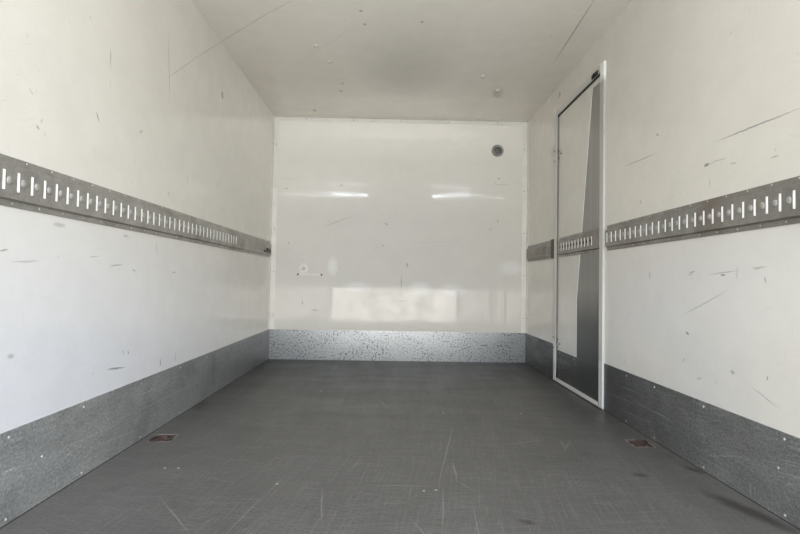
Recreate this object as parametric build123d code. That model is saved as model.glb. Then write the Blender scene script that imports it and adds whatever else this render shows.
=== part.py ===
from build123d import *
import os

# Truck box body: a sandwich-panel load box on its own subframe, with two rear doors folded
# back along the side walls and a side door, closed, near the front of the right wall.
# Millimetres. +X is the right-hand side, +Y the front, +Z up. The origin is on the floor,
# in the middle of the body's length and width.

# Load space
inner_width = 2100
inner_height = 1991
inner_length = 4200

# Panels
wall_t = 25
front_t = 30
roof_t = 30
deck_t = 18

# Subframe
sill_height = 100
sill_flange = 50
sill_t = 5
sill_spacing = 860
cross_height = 60
cross_flange = 40
cross_t = 3
cross_count = 11

# Outer edge profiles
cap_t = 4
cap_leg = 70
cap_radius = 3.5
bottom_rail_leg = 86
wall_seat_t = 4
front_top_leg = 95

# Rear frame
frame_depth = 60
post_width = 50
fold_radius = 4
post_proud = 5
header_drop = 50

# Rear doors
leaf_t = 30
leaf_gap = 8
leaf_inset = 6
leaf_split = 8
leaf_lap = 31
pin_out = 22
pin_side = 28
open_range = 270
seal_width = 18
seal_clear = 0.3

# Rear door hinges
knuckle_r = 12
hinge_pin_r = 6
pin_clear = 0.05
hinge_arm_height = 40
hinge_ear_t = 12
hinge_ear_clear = 1.5
strap_length = 260
strap_t = 6
butt_length = 70
butt_t = 8
butt_setback = 28
hinge_count = 3
hinge_inset = 240

# Rear door locks
rod_r = 11
rod_off = 25
rod_inset = 170
rod_reach = 32
cam_width = 44
cam_depth = 16
cam_height = 22
bearing_width = 60
bearing_height = 45
bearing_count = 4
bearing_inset = 170
handle_length = 430
handle_height = 30
handle_t = 8
handle_off = 20
handle_level = 930
keeper_clear = 8
keeper_t = 8
keeper_height = 26

# Lashing rails: a pressed section with a row of upright slots
rail_height = 129
rail_level = 825
rail_t = 2.5
rail_depth = 12
rail_top_flange = 24
rail_bottom_flange = 21
rail_slope = 4
slot_pitch = 50.8
slot_width = 10
slot_height = 51
slot_rise = 65
slot_start_left = 13.4
slot_start_right = 36.1
rail_slot_margin = 22
rail_plain_end = 60
rail_setback = 32

# Kick plates
kick_height = 243
kick_t = 2
door_kick_height = 214
kick_clear = 2

# Corner trim inside the front wall
trim_leg = 40
trim_top_leg = 31
trim_reach = 50
trim_t = 2

# Side door, measured back from the inside of the front wall
doorway_start = 772
doorway_end = 1542
jamb_t = 8
jamb_proud = 12
jamb_flange_t = 4
jamb_cover = 16
jamb_face = 44
jamb_outer_flange = 30
corner_gap = 18
leaf_clear = 6
head_room = 196
lip_lap = 10
threshold_height = 30
threshold_t = 8
side_seal_width = 16
side_pin_out = 16
side_knuckle_r = 8
side_pin_r = 4
side_strap_length = 110
side_strap_t = 5
side_hinge_height = 100
side_hinge_low = 254
side_hinge_drop = 282
side_rail_start = 838
side_rail_end = 1498
side_rail_slots = (16, 27)
catch_place = 1450
catch_rise = 2
catch_size = (80, 22)
catch_t = 6
catch_nose = 12
latch_size = (120, 160)
latch_level = 1000
latch_t = 4

# Front wall vent
vent_side = 249
vent_drop = 245
vent_r = 50
vent_hole_r = 31
vent_tube_r = 40
vent_flange_t = 4
hood_r = 56
hood_depth = 22
hood_t = 3

# Recessed lashing points in the deck: one row at mid-length, one near the rear
pan_side = 34
pan_rear = 500
pan_size = (86, 100)
pan_depth = 14
pan_t = 3
ring_r = 30
ring_t = 8

# Chassis brackets
bracket_count = 3
bracket_length = 90
bracket_width = 60
bracket_height = 80
bracket_t = 8
bracket_hole_r = 6.5
bracket_hole_spacing = 50

# Lamps and buffers
lamp_size = (90, 14, 36)
lamp_places = (1900, 2800)
buffer_size = (160, 50, 80)

# Levels
cross_bottom = sill_height
deck_bottom = cross_bottom + cross_height
deck_top = deck_bottom + deck_t
roof_bottom = deck_top + inner_height
roof_top = roof_bottom + roof_t
body_top = roof_top + cap_t

door_top = inner_height - head_room
door_lip = door_top - lip_lap

# Widths
x_in = inner_width / 2
x_out = x_in + wall_t
x_pin = x_out + pin_side

# Lengths: the overall length runs from the vent's hood to the rearmost of hinges and keepers
pin_back = leaf_gap + leaf_t + pin_out
keeper_reach = leaf_gap + leaf_t + rod_off + cam_depth
rear_reach = max(pin_back + knuckle_r, keeper_reach)
front_reach = max(hood_depth, cap_t)
overall_length = front_reach + front_t + inner_length + rear_reach
y_front = overall_length / 2 - front_reach - front_t
y_front_out = y_front + front_t
y_rear = y_front - inner_length
y_frame = y_rear + frame_depth
y_pin = y_rear - pin_back


def y_at(back):
    """Place that lies this far behind the inside of the front wall."""
    return y_front - back


def block(x0, x1, y0, y1, z0, z1):
    """Box between two corners."""
    centre = Pos((x0 + x1) / 2, (y0 + y1) / 2, (z0 + z1) / 2)
    return centre * Box(abs(x1 - x0), abs(y1 - y0), abs(z1 - z0))


def run_x(points, x0, x1):
    """Section given as (y, z) points, run from x0 to x1."""
    face = Plane(origin=(x0, 0, 0), x_dir=(0, 1, 0), z_dir=(1, 0, 0)) * make_face(Polyline(*points, close=True))
    return extrude(face, x1 - x0, dir=(1, 0, 0))


def run_y(points, y0, y1):
    """Section given as (x, z) points, run from y0 to y1."""
    face = Plane(origin=(0, y1, 0), x_dir=(1, 0, 0), z_dir=(0, -1, 0)) * make_face(Polyline(*points, close=True))
    return extrude(face, y1 - y0, dir=(0, -1, 0))


def run_z(points, z0, z1):
    """Section given as (x, y) points, run from z0 to z1."""
    face = Plane.XY.offset(z0) * make_face(Polyline(*points, close=True))
    return extrude(face, z1 - z0, dir=(0, 0, 1))


def other_side(shape):
    """The same piece on the left-hand side."""
    return mirror(shape, about=Plane.YZ)


def save(node, shapes):
    """Write one node from a list of separate solids."""
    solids = [solid for shape in shapes for solid in shape.solids()]
    shape = solids[0] if len(solids) == 1 else Compound(children=solids)
    shape.label = node
    export_step(shape, f"parts/{node}.step")


os.makedirs("parts", exist_ok=True)

# Subframe: two long channel sills with their open sides inwards, and cross-members on top
sill_x = sill_spacing / 2
sill_front = y_front - sill_flange
sill_in = sill_x - sill_flange / 2
sill_out = sill_x + sill_flange / 2
sill_right = run_y([(sill_in, 0), (sill_out, 0), (sill_out, sill_height), (sill_in, sill_height),
                    (sill_in, sill_height - sill_t), (sill_out - sill_t, sill_height - sill_t),
                    (sill_out - sill_t, sill_t), (sill_in, sill_t)], y_frame, sill_front)
save("longitudinal_sills", [sill_right, other_side(sill_right)])

cross_first = y_front - cross_flange
cross_last = y_frame
cross_pitch = (cross_first - cross_last) / (cross_count - 1)
cross_members = []
for number in range(cross_count):
    back = cross_last + number * cross_pitch
    front = back + cross_flange
    low, high = cross_bottom, deck_bottom
    profile = [(back, low), (front, low), (front, low + cross_t), (back + cross_t, low + cross_t),
               (back + cross_t, high - cross_t), (front, high - cross_t), (front, high), (back, high)]
    cross_members.append(run_x(profile, -x_in, x_in))
save("cross_members", cross_members)

# Brackets that carry the bolts down to a chassis
bracket_pitch = (sill_front - y_frame - bracket_length) / (bracket_count - 1)
brackets = []
for number in range(bracket_count):
    back = y_frame + number * bracket_pitch
    front = back + bracket_length
    angle = run_y([(sill_out, 0), (sill_out + bracket_width, 0), (sill_out + bracket_width, bracket_t),
                   (sill_out + bracket_t, bracket_t), (sill_out + bracket_t, bracket_height),
                   (sill_out, bracket_height)], back, front)
    hole_x = sill_out + (bracket_t + bracket_width) / 2
    for step in (-1, 1):
        place = Pos(hole_x, (back + front) / 2 + step * bracket_hole_spacing / 2, bracket_t / 2)
        angle -= place * Cylinder(bracket_hole_r, 3 * bracket_t)
    brackets += [angle, other_side(angle)]
save("chassis_brackets", brackets)

# Deck with its recessed lashing points
deck = block(-x_in, x_in, y_frame, y_front, deck_bottom, deck_top)
pans = []
for back in (inner_length / 2, inner_length - pan_rear):
    for side in (-1, 1):
        centre = Pos(side * (x_in - pan_side - pan_size[0] / 2), y_at(back), deck_top)
        outer = Pos(0, 0, -pan_depth / 2) * Box(pan_size[0], pan_size[1], pan_depth)
        pocket = Pos(0, 0, -(pan_depth - pan_t) / 2) * Box(pan_size[0] - 2 * pan_t, pan_size[1] - 2 * pan_t,
                                                          pan_depth - pan_t)
        link = RegularPolygon(ring_r, 8) - RegularPolygon(ring_r - ring_t, 8)
        ring = extrude(Plane.XY.offset(pan_t / 2 - pan_depth) * link, ring_t)
        saddle_high = pan_t / 2
        saddle = Pos(0, ring_r, -(pan_depth + saddle_high) / 2) * Box(2 * ring_t, 3 * ring_t,
                                                                     pan_depth - saddle_high)
        deck -= centre * outer
        pans.append(centre * (outer - pocket + ring + saddle))
save("deck", [deck])
save("lashing_points", pans)

# Side walls: the right one is in three panels round the side door
y_door_front = y_at(doorway_start)
y_door_rear = y_at(doorway_end)
header_level = deck_top + door_top + leaf_clear
header_top = header_level + jamb_t
save("wall_left", [block(-x_out, -x_in, y_frame, y_front, deck_bottom, roof_bottom)])
save("wall_right_rear", [block(x_in, x_out, y_frame, y_door_rear, deck_bottom, roof_bottom)])
save("wall_right_front", [block(x_in, x_out, y_door_front, y_front, deck_bottom, roof_bottom)])
save("wall_right_header", [block(x_in, x_out, y_door_rear, y_door_front, header_top, roof_bottom)])

# Front wall with the vent hole, and roof
vent_x = x_in - vent_side
vent_z = roof_bottom - vent_drop
vent_axis = Plane(origin=(vent_x, y_front_out, vent_z), x_dir=(1, 0, 0), z_dir=(0, -1, 0))
front_wall = block(-x_out, x_out, y_front, y_front_out, deck_bottom, roof_bottom)
front_wall -= extrude(vent_axis * Circle(vent_tube_r), front_t, dir=(0, -1, 0))
save("front_wall", [front_wall])
save("roof", [block(-x_out, x_out, y_frame, y_front_out, roof_bottom, roof_top)])

# Vent: a flanged tube, with a hood outside that is open at the bottom
vent_profile = [(vent_hole_r, front_t + vent_flange_t), (vent_r, front_t + vent_flange_t), (vent_r, front_t),
                (vent_tube_r, front_t), (vent_tube_r, 0), (hood_r, 0), (hood_r - 3 * hood_t, -hood_depth),
                (0, -hood_depth), (0, hood_t - hood_depth), (hood_r - 5 * hood_t, hood_t - hood_depth),
                (vent_tube_r, -hood_t), (vent_hole_r, -hood_t)]
vent_tube = revolve(Plane.XZ * make_face(Polyline(*vent_profile, close=True)), Axis.Z)
hood_mouth = Pos(0, -hood_r, -hood_depth / 2) * Box(hood_r, hood_r, hood_depth - 4 * hood_t)
vent_tube -= hood_mouth
save("front_vent", [vent_axis * vent_tube])

# Profiles on the outer edges
bottom_low = sill_height
seat_low = deck_bottom - wall_seat_t
rail_top = bottom_low + bottom_rail_leg
bottom_profile = [(x_in, bottom_low), (x_in + cap_t, bottom_low), (x_in + cap_t, seat_low),
                  (x_out, seat_low), (x_out, bottom_low), (x_out + cap_t, bottom_low),
                  (x_out + cap_t, rail_top), (x_out, rail_top), (x_out, deck_bottom), (x_in, deck_bottom)]
bottom_rail = run_y(bottom_profile, y_frame, y_front)
save("bottom_rail_right", [bottom_rail])
save("bottom_rail_left", [other_side(bottom_rail)])

roof_cap = run_y([(x_out, roof_top - front_top_leg), (x_out + cap_t, roof_top - front_top_leg),
                  (x_out + cap_t, body_top), (x_out - cap_leg, body_top), (x_out - cap_leg, roof_top),
                  (x_out, roof_top)], y_frame, y_front_out + cap_t)
roof_corner = roof_cap.edges().filter_by(Axis.Y).sort_by(lambda edge: edge.center().X + edge.center().Z)[-1]
roof_cap = fillet(roof_corner, cap_radius)
save("roof_rail_right", [roof_cap])
save("roof_rail_left", [other_side(roof_cap)])

corner_cap = run_z([(x_out, y_front - cap_leg), (x_out + cap_t, y_front - cap_leg),
                    (x_out + cap_t, y_front_out + cap_t), (x_out - cap_leg, y_front_out + cap_t),
                    (x_out - cap_leg, y_front_out), (x_out, y_front_out)],
                   rail_top, roof_top - front_top_leg)
corner_edge = corner_cap.edges().filter_by(Axis.Z).sort_by(lambda edge: edge.center().X + edge.center().Y)[-1]
corner_cap = fillet(corner_edge, cap_radius)
save("front_corner_caps", [corner_cap, other_side(corner_cap)])

front_cap = run_x([(y_front_out, roof_top - front_top_leg), (y_front_out + cap_t, roof_top - front_top_leg),
                   (y_front_out + cap_t, body_top), (y_front_out - cap_leg, body_top),
                   (y_front_out - cap_leg, roof_top), (y_front_out, roof_top)],
                  -(x_out - cap_leg), x_out - cap_leg)
front_edge = front_cap.edges().filter_by(Axis.X).sort_by(lambda edge: edge.center().Y + edge.center().Z)[-1]
front_cap = fillet(front_edge, cap_radius)
front_cap += block(-x_out, x_out, y_front_out, y_front_out + cap_t, roof_top - front_top_leg, roof_top)
save("front_top_rail", [front_cap])

front_low = run_x([(y_front, bottom_low), (y_front + cap_t, bottom_low), (y_front + cap_t, seat_low),
                   (y_front_out, seat_low), (y_front_out, bottom_low), (y_front_out + cap_t, bottom_low),
                   (y_front_out + cap_t, rail_top), (y_front_out, rail_top), (y_front_out, deck_bottom),
                   (y_front, deck_bottom)], -x_out, x_out)
save("front_bottom_rail", [front_low])

# White angle trim in the inner corners of the front wall
trim_low = deck_top + kick_height
trim_side = run_z([(x_in, y_front), (x_in - trim_leg, y_front), (x_in - trim_leg, y_front - trim_t),
                   (x_in - trim_t, y_front - trim_t), (x_in - trim_t, y_front - trim_reach),
                   (x_in, y_front - trim_reach)], trim_low, roof_bottom)
trim_top = run_x([(y_front, roof_bottom), (y_front - trim_reach, roof_bottom),
                  (y_front - trim_reach, roof_bottom - trim_t), (y_front - trim_t, roof_bottom - trim_t),
                  (y_front - trim_t, roof_bottom - trim_top_leg), (y_front, roof_bottom - trim_top_leg)],
                 -x_in, x_in)
save("front_corner_trim", [trim_top + trim_side + other_side(trim_side)])

# Kick plates
y_post_front = y_door_front + jamb_cover
y_post_rear = y_door_rear - jamb_cover
kick_top = deck_top + kick_height
kick_in = x_in - kick_t
save("kick_plate_left", [block(-x_in, -kick_in, y_frame, y_front - kick_t, deck_top, kick_top)])
save("kick_plate_right_rear", [block(kick_in, x_in, y_frame, y_post_rear, deck_top, kick_top)])
save("kick_plate_right_front", [block(kick_in, x_in, y_post_front, y_front - kick_t, deck_top, kick_top)])
save("kick_plate_front", [block(-x_in, x_in, y_front - kick_t, y_front, deck_top, kick_top)])


def lashing_rail(y0, y1, first_slot, last_slot):
    """Pressed rail on the right wall, slotted from first_slot to last_slot at the standard pitch."""
    low = deck_top + rail_level
    high = low + rail_height
    face_low = low + rail_bottom_flange
    face_high = high - rail_top_flange
    back = x_in
    front = x_in - rail_depth
    profile = [(back, low), (back, face_low - rail_slope), (front + rail_t, face_low),
               (front + rail_t, face_high), (back, face_high + rail_slope), (back, high),
               (back - rail_t, high), (back - rail_t, face_high + rail_slope + rail_t / 2),
               (front, face_high + rail_t / 2), (front, face_low - rail_t / 2),
               (back - rail_t, face_low - rail_slope - rail_t / 2), (back - rail_t, low)]
    rail = run_y(profile, y0, y1)
    slot_z = low + slot_rise
    count = int((last_slot - first_slot) / slot_pitch) + 1
    slots = [Pos(front, last_slot - number * slot_pitch, slot_z) * Box(3 * rail_t, slot_width, slot_height)
             for number in range(count)]
    return rail - slots


rail_front_end = y_front - trim_reach
left_rail = other_side(lashing_rail(y_frame, rail_front_end, y_frame + rail_slot_margin,
                                    y_front - slot_start_left - slot_pitch))
save("lashing_rail_left", [left_rail])
y_right_slots = y_front - slot_start_right
right_rear_last = y_right_slots - 31 * slot_pitch
save("lashing_rail_right_rear", [lashing_rail(y_frame, y_post_rear - rail_setback,
                                              y_frame + rail_slot_margin, right_rear_last)])
save("lashing_rail_right_front", [lashing_rail(y_post_front + leaf_clear, rail_front_end,
                                               y_post_front + leaf_clear + rail_plain_end,
                                               y_right_slots - slot_pitch)])

# Side door frame: two posts, a header and a threshold, all with an inner flange that the seal sits behind
jamb_in = x_in - jamb_proud
jamb_out = x_out + cap_t
post_low = deck_top
header_lip = deck_top + door_lip
post_high = header_lip + jamb_face


def jamb(y_web, away):
    """Post at one side of the doorway. away is the direction from the doorway into the wall."""
    y_wall_side = y_web + away * jamb_cover
    y_door_side = y_wall_side - away * jamb_face
    web_inner = y_web - away * jamb_t
    y_outside = y_web + away * jamb_outer_flange
    return run_z([(jamb_in, y_wall_side), (x_in, y_wall_side), (x_in, y_web), (x_out, y_web),
                  (x_out, y_outside), (jamb_out, y_outside), (jamb_out, web_inner),
                  (jamb_in + jamb_flange_t, web_inner), (jamb_in + jamb_flange_t, y_door_side),
                  (jamb_in, y_door_side)], post_low + threshold_t, post_high)


posts = []
for y_web, away in ((y_door_front, 1), (y_door_rear, -1)):
    post = jamb(y_web, away)
    reach = 2 * jamb_face
    post -= block(x_in, jamb_out, y_web - reach, y_web + reach, header_top, post_high)
    post -= block(x_out, jamb_out, y_web - reach, y_web + reach, post_low, rail_top)
    posts.append(post)
save("side_door_posts", posts)

# Clear opening between the posts' flanges, and between their webs
clear_front = y_post_front - jamb_face
clear_rear = y_post_rear + jamb_face
web_front = y_door_front - jamb_t
web_rear = y_door_rear + jamb_t
flange_back = jamb_in + jamb_flange_t
flange_rear = clear_rear + corner_gap
flange_front = clear_front - corner_gap
header = block(jamb_in, flange_back, flange_rear, flange_front, header_lip, header_top)
header += block(jamb_in, x_in, flange_rear, flange_front, header_top, post_high)
header += block(flange_back, x_out, web_rear, web_front, header_level, header_top)
header += block(x_out, jamb_out, web_rear, web_front, header_level, header_top + jamb_outer_flange)
save("side_door_header", [header])

threshold_top = deck_top + threshold_t
threshold = block(x_in, x_out, y_door_rear, y_door_front, deck_bottom, deck_top)
threshold += block(flange_back, x_out, web_rear, web_front, deck_top, threshold_top)
threshold += block(jamb_in, flange_back, flange_rear, flange_front, deck_top, deck_top + threshold_height)
save("side_door_threshold", [threshold])

# Rubber seal behind the flanges, standing half its width proud of them
seal_lap = side_seal_width / 2
seal_foot = deck_top + threshold_height
side_seal = block(flange_back, x_in - seal_clear, clear_rear - seal_lap, clear_front + seal_lap,
                  seal_foot - side_seal_width, header_lip + seal_lap)
side_seal -= block(flange_back, x_in, clear_rear + seal_lap, clear_front - seal_lap,
                   seal_foot, header_lip - seal_lap)
save("side_door_seal", [side_seal])

# Catch on the header, above the door's free end
catch_y = y_at(catch_place)
catch_z = deck_top + door_top + catch_rise
catch = block(jamb_in - catch_t, jamb_in, catch_y - catch_size[0] / 2, catch_y + catch_size[0] / 2,
              catch_z - catch_size[1] / 2, catch_z + catch_size[1] / 2)
catch += Pos(jamb_in - catch_t, catch_y, catch_z) * Cylinder(catch_nose / 2, catch_size[1] * 0.7)
save("side_door_catch", [catch])

# Side door leaf with its rail and kick plate
leaf_front = web_front - leaf_clear
leaf_rear = web_rear + leaf_clear
side_leaf_low = threshold_top + leaf_clear
side_leaf_high = deck_top + door_top
save("side_door_panel", [block(x_in, x_out, leaf_rear, leaf_front, side_leaf_low, side_leaf_high)])
save("side_door_kick_plate", [block(kick_in, x_in, clear_rear + seal_lap + kick_clear,
                                    clear_front - seal_lap - kick_clear, seal_foot + kick_clear,
                                    deck_top + door_kick_height)])
save("side_door_rail", [lashing_rail(y_at(side_rail_end), y_at(side_rail_start),
                                     y_right_slots - side_rail_slots[1] * slot_pitch,
                                     y_right_slots - side_rail_slots[0] * slot_pitch)])

# Side door hinges: a leaf arm turns on the pin of each fixed butt
x_side_pin = x_out + side_pin_out
y_side_pin = web_front - leaf_clear / 2
third = side_hinge_height / 3
side_straps = []
side_butts = []
for level in (side_hinge_low, door_top - side_hinge_drop):
    z = deck_top + level
    pin = Pos(x_side_pin, y_side_pin, z)
    strap = block(x_out, x_out + side_strap_t, leaf_front - side_strap_length, leaf_front - third / 2,
                  z - side_hinge_height / 2, z + side_hinge_height / 2)
    strap += block(x_out, x_side_pin, leaf_front - third, y_side_pin, z - third / 2, z + third / 2)
    strap += pin * Cylinder(side_knuckle_r, third)
    strap -= pin * Cylinder(side_pin_r + pin_clear, side_hinge_height)
    side_straps.append(strap)
    butt = block(jamb_out, jamb_out + side_strap_t, y_side_pin + side_knuckle_r,
                 y_side_pin + side_knuckle_r + side_strap_length / 2,
                 z - side_hinge_height / 2, z + side_hinge_height / 2)
    butt += pin * Cylinder(side_pin_r, side_hinge_height)
    for end in (-1, 1):
        centre = z + end * (third + hinge_ear_clear / 2)
        half = (third - hinge_ear_clear) / 2
        butt += Pos(x_side_pin, y_side_pin, centre) * Cylinder(side_knuckle_r, 2 * half)
        butt += block(jamb_out, x_side_pin, y_side_pin, y_side_pin + side_knuckle_r + side_strap_t,
                      centre - half, centre + half)
    side_butts.append(butt)
save("side_door_hinges", side_straps)
save("side_door_hinge_butts", side_butts)

# Flush paddle latch on the outside of the side door
latch_y = leaf_rear + latch_size[0]
latch_z = deck_top + latch_level
latch = block(x_out, x_out + latch_t, latch_y - latch_size[0] / 2, latch_y + latch_size[0] / 2,
              latch_z - latch_size[1] / 2, latch_z + latch_size[1] / 2)
latch = fillet(latch.edges().filter_by(Axis.X), latch_size[0] / 8)
latch += Pos(x_out + latch_t, latch_y, latch_z) * Box(2 * latch_t, latch_size[0] * 0.6, latch_size[1] * 0.5)
save("side_door_latch", [latch])

# Header and sill of the rear frame, of closed steel section
x_frame = x_out + post_proud
header_low = roof_bottom - header_drop
for node, low, high in (("rear_header", header_low, roof_top), ("rear_sill", 0, deck_top)):
    beam = block(-x_frame, x_frame, y_rear, y_frame, low, high)
    beam = fillet(beam.edges().filter_by(Axis.X).sort_by(Axis.Y)[:2], fold_radius)
    save(node, [beam])

# Rear doors, drawn closed and then swung right round against the side walls
leaf_outer = y_pin + pin_out
leaf_inner = leaf_outer + leaf_t
leaf_edge = x_out - leaf_inset
leaf_middle = leaf_split / 2
leaf_low = deck_top - leaf_lap
leaf_high = header_low + leaf_lap
x_rod = leaf_middle + rod_inset
y_rod = leaf_outer - rod_off


def levels(low, high, inset, count):
    """Heights spread evenly from inset above low to inset below high."""
    step = (high - low - 2 * inset) / (count - 1)
    return [low + inset + number * step for number in range(count)]


def swung_open(shape):
    """The right-hand door's piece, turned from closed to folded back."""
    return Pos(x_pin, y_pin, 0) * Rotation(0, 0, open_range) * Pos(-x_pin, -y_pin, 0) * shape


panel = block(leaf_middle, leaf_edge, leaf_outer, leaf_inner, leaf_low, leaf_high)

seal_inset = leaf_inset / 2
seal_edge = leaf_edge - seal_inset
seal_low = leaf_low + seal_inset
seal_high = leaf_high - seal_inset
rear_seal = block(leaf_middle, seal_edge, leaf_inner, y_rear - seal_clear, seal_low, seal_high)
rear_seal -= block(leaf_middle, seal_edge - seal_width, leaf_inner, y_rear, seal_low + seal_width,
                   seal_high - seal_width)

straps = []
butts = []
for z in levels(leaf_low, leaf_high, hinge_inset, hinge_count):
    pin = Pos(x_pin, y_pin, z)
    half = hinge_arm_height / 2
    strap = block(leaf_edge - strap_length, leaf_edge, leaf_outer - strap_t, leaf_outer, z - half, z + half)
    strap += block(leaf_edge - half, x_pin, y_pin, leaf_outer, z - half, z + half)
    strap += pin * Cylinder(knuckle_r, hinge_arm_height)
    strap -= pin * Cylinder(hinge_pin_r + pin_clear, 2 * hinge_arm_height)
    straps.append(strap)
    ear_low = half + hinge_ear_clear
    ear_high = ear_low + hinge_ear_t
    butt_front = y_pin + butt_setback + butt_length
    butt = block(x_frame, x_frame + butt_t, y_pin + butt_setback, butt_front, z - ear_high, z + ear_high)
    butt += pin * Cylinder(hinge_pin_r, 2 * ear_high)
    for low, high in ((-ear_high, -ear_low), (ear_low, ear_high)):
        butt += block(x_frame, x_pin, y_pin, y_pin + butt_setback + butt_t, z + low, z + high)
        butt += Pos(x_pin, y_pin, z + (low + high) / 2) * Cylinder(knuckle_r, hinge_ear_t)
    butts.append(butt)

# Lock rod with its bearings, cams and handle
rod_low = leaf_low - rod_reach
rod_high = leaf_high + rod_reach
lock = Pos(x_rod, y_rod, (rod_low + rod_high) / 2) * Cylinder(rod_r, rod_high - rod_low)
for low in (rod_low, rod_high - cam_height):
    lock += block(x_rod - cam_width / 2, x_rod + cam_width / 2, y_rod - cam_depth / 2, y_rod + cam_depth / 2,
                  low, low + cam_height)
cover_r = rod_r + strap_t / 2
for z in levels(leaf_low, leaf_high, bearing_inset, bearing_count):
    low, high = z - bearing_height / 2, z + bearing_height / 2
    lock += block(x_rod - bearing_width / 2, x_rod + bearing_width / 2, leaf_outer - strap_t, leaf_outer, low, high)
    lock += block(x_rod - cover_r, x_rod + cover_r, y_rod, leaf_outer, low, high)
    lock += Pos(x_rod, y_rod, z) * Cylinder(cover_r, bearing_height)
z = deck_top + handle_level
y_handle = leaf_outer - handle_off
lock += block(x_rod, x_rod + handle_length, y_handle - handle_t / 2, y_handle + handle_t / 2,
              z - handle_height / 2, z + handle_height / 2)
lock += block(x_rod + handle_length - bearing_width, x_rod + handle_length - bearing_width / 3,
              y_handle, leaf_outer, z - handle_height, z + handle_height / 2)

for name, solids in (("panel", [panel]), ("seal", [rear_seal]), ("hinges", straps), ("lock", [lock])):
    right = [swung_open(solid) for solid in solids]
    save(f"rear_door_right_{name}", right)
    save(f"rear_door_left_{name}", [other_side(solid) for solid in right])

# Rear posts, with the butts welded on
rear_post = block(x_frame - post_width, x_frame, y_rear, y_frame, deck_top, header_low)
rear_post = fillet(rear_post.edges().filter_by(Axis.Z).sort_by(Axis.Y)[:2], fold_radius)
for butt in butts:
    rear_post += butt
save("rear_post_right", [rear_post])
save("rear_post_left", [other_side(rear_post)])

# Keepers that hold the lock rods' cams when the doors are shut
keepers = []
gap = cam_width / 2 + keeper_clear
for low in (leaf_high + leaf_inset, leaf_low - leaf_inset - keeper_height):
    keeper = block(x_rod - gap - keeper_t, x_rod + gap + keeper_t, y_rear - keeper_t, y_rear,
                   low, low + keeper_height)
    for near in (x_rod - gap - keeper_t, x_rod + gap):
        keeper += block(near, near + keeper_t, y_rear - keeper_reach, y_rear, low, low + keeper_height)
    keepers += [keeper, other_side(keeper)]
save("lock_keepers", keepers)

# Marker lamps on the bottom rails and the rear header, and rubber buffers on the rear sill
lamps = []
lamp_z = (bottom_low + rail_top) / 2
for back in lamp_places:
    lamp = Pos(jamb_out + lamp_size[1] / 2, y_at(back), lamp_z) * Box(lamp_size[1], lamp_size[0], lamp_size[2])
    lamp = chamfer(lamp.edges().filter_by(Axis.X), lamp_size[1] / 3)
    lamps += [lamp, other_side(lamp)]
top_lamp = Pos(x_frame - lamp_size[0], y_rear - lamp_size[1] / 2, (leaf_high + leaf_inset + roof_top) / 2)
top_lamp = top_lamp * Box(lamp_size[0], lamp_size[1], lamp_size[2])
top_lamp = chamfer(top_lamp.edges().filter_by(Axis.Y), lamp_size[1] / 3)
lamps += [top_lamp, other_side(top_lamp)]
save("marker_lamps", lamps)

buffer_low = (leaf_low - buffer_size[2]) / 3
buffer = block(x_frame - 2 * buffer_size[0], x_frame - buffer_size[0], y_rear - buffer_size[1], y_rear,
               buffer_low, buffer_low + buffer_size[2])
buffer = fillet(buffer.faces().sort_by(Axis.Y)[0].edges(), buffer_size[1] / 5)
save("rear_buffers", [buffer, other_side(buffer)])
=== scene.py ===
import math

import bmesh
import bpy
from mathutils import Matrix, Vector


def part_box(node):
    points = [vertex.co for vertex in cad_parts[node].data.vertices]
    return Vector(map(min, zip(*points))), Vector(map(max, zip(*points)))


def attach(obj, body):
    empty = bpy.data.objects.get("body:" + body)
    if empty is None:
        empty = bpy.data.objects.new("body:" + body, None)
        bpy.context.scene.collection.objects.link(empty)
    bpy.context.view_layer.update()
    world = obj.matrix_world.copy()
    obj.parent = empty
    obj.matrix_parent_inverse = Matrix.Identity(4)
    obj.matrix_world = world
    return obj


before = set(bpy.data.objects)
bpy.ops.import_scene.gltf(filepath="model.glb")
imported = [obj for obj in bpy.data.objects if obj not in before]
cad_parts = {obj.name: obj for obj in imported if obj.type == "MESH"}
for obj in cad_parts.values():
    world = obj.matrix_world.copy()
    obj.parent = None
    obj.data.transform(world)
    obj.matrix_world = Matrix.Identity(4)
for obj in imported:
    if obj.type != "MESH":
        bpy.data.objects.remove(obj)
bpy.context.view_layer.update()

# Subframe
# Two long channel sills of pressed steel carry the body on a truck's chassis. They are welded to
# the brackets that take the chassis bolts, and brush-painted grey against road salt.
SILL_GREY = (0.36, 0.37, 0.38)
SILL_DIRT = (0.20, 0.185, 0.165)
SILL_RUST = (0.17, 0.065, 0.03)
BRACKET_COUNT = 3
BRACKET_LENGTH = 0.09
BRACKET_LEG = 0.008
BRACKET_BOLT_RADIUS = 0.0095
BRACKET_BOLT_RISE = 0.052
BRACKET_BOLT_INSET = 0.022

scene = bpy.context.scene


def add(tree, kind, inputs=None, **settings):
    """New shader node. An input is a number, a colour or another node's socket."""
    node = tree.nodes.new("ShaderNode" + kind)
    for key, value in settings.items():
        setattr(node, key, value)
    for key, value in (inputs or {}).items():
        if isinstance(value, bpy.types.NodeSocket):
            tree.links.new(value, node.inputs[key])
        else:
            node.inputs[key].default_value = value
    return node


def new_finish(name, roughness, metallic=0.0):
    """Empty material: its tree, its shader and the surface's own place."""
    material = bpy.data.materials.new(name)
    material.use_nodes = True
    tree = material.node_tree
    shader = tree.nodes["Principled BSDF"]
    shader.inputs["Roughness"].default_value = roughness
    shader.inputs["Metallic"].default_value = metallic
    place = add(tree, "TexCoord").outputs["Object"]
    return material, tree, shader, place


def maths(tree, operation, a, b=0.0):
    """One sum of two values."""
    return add(tree, "Math", {0: a, 1: b}, operation=operation).outputs[0]


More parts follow.
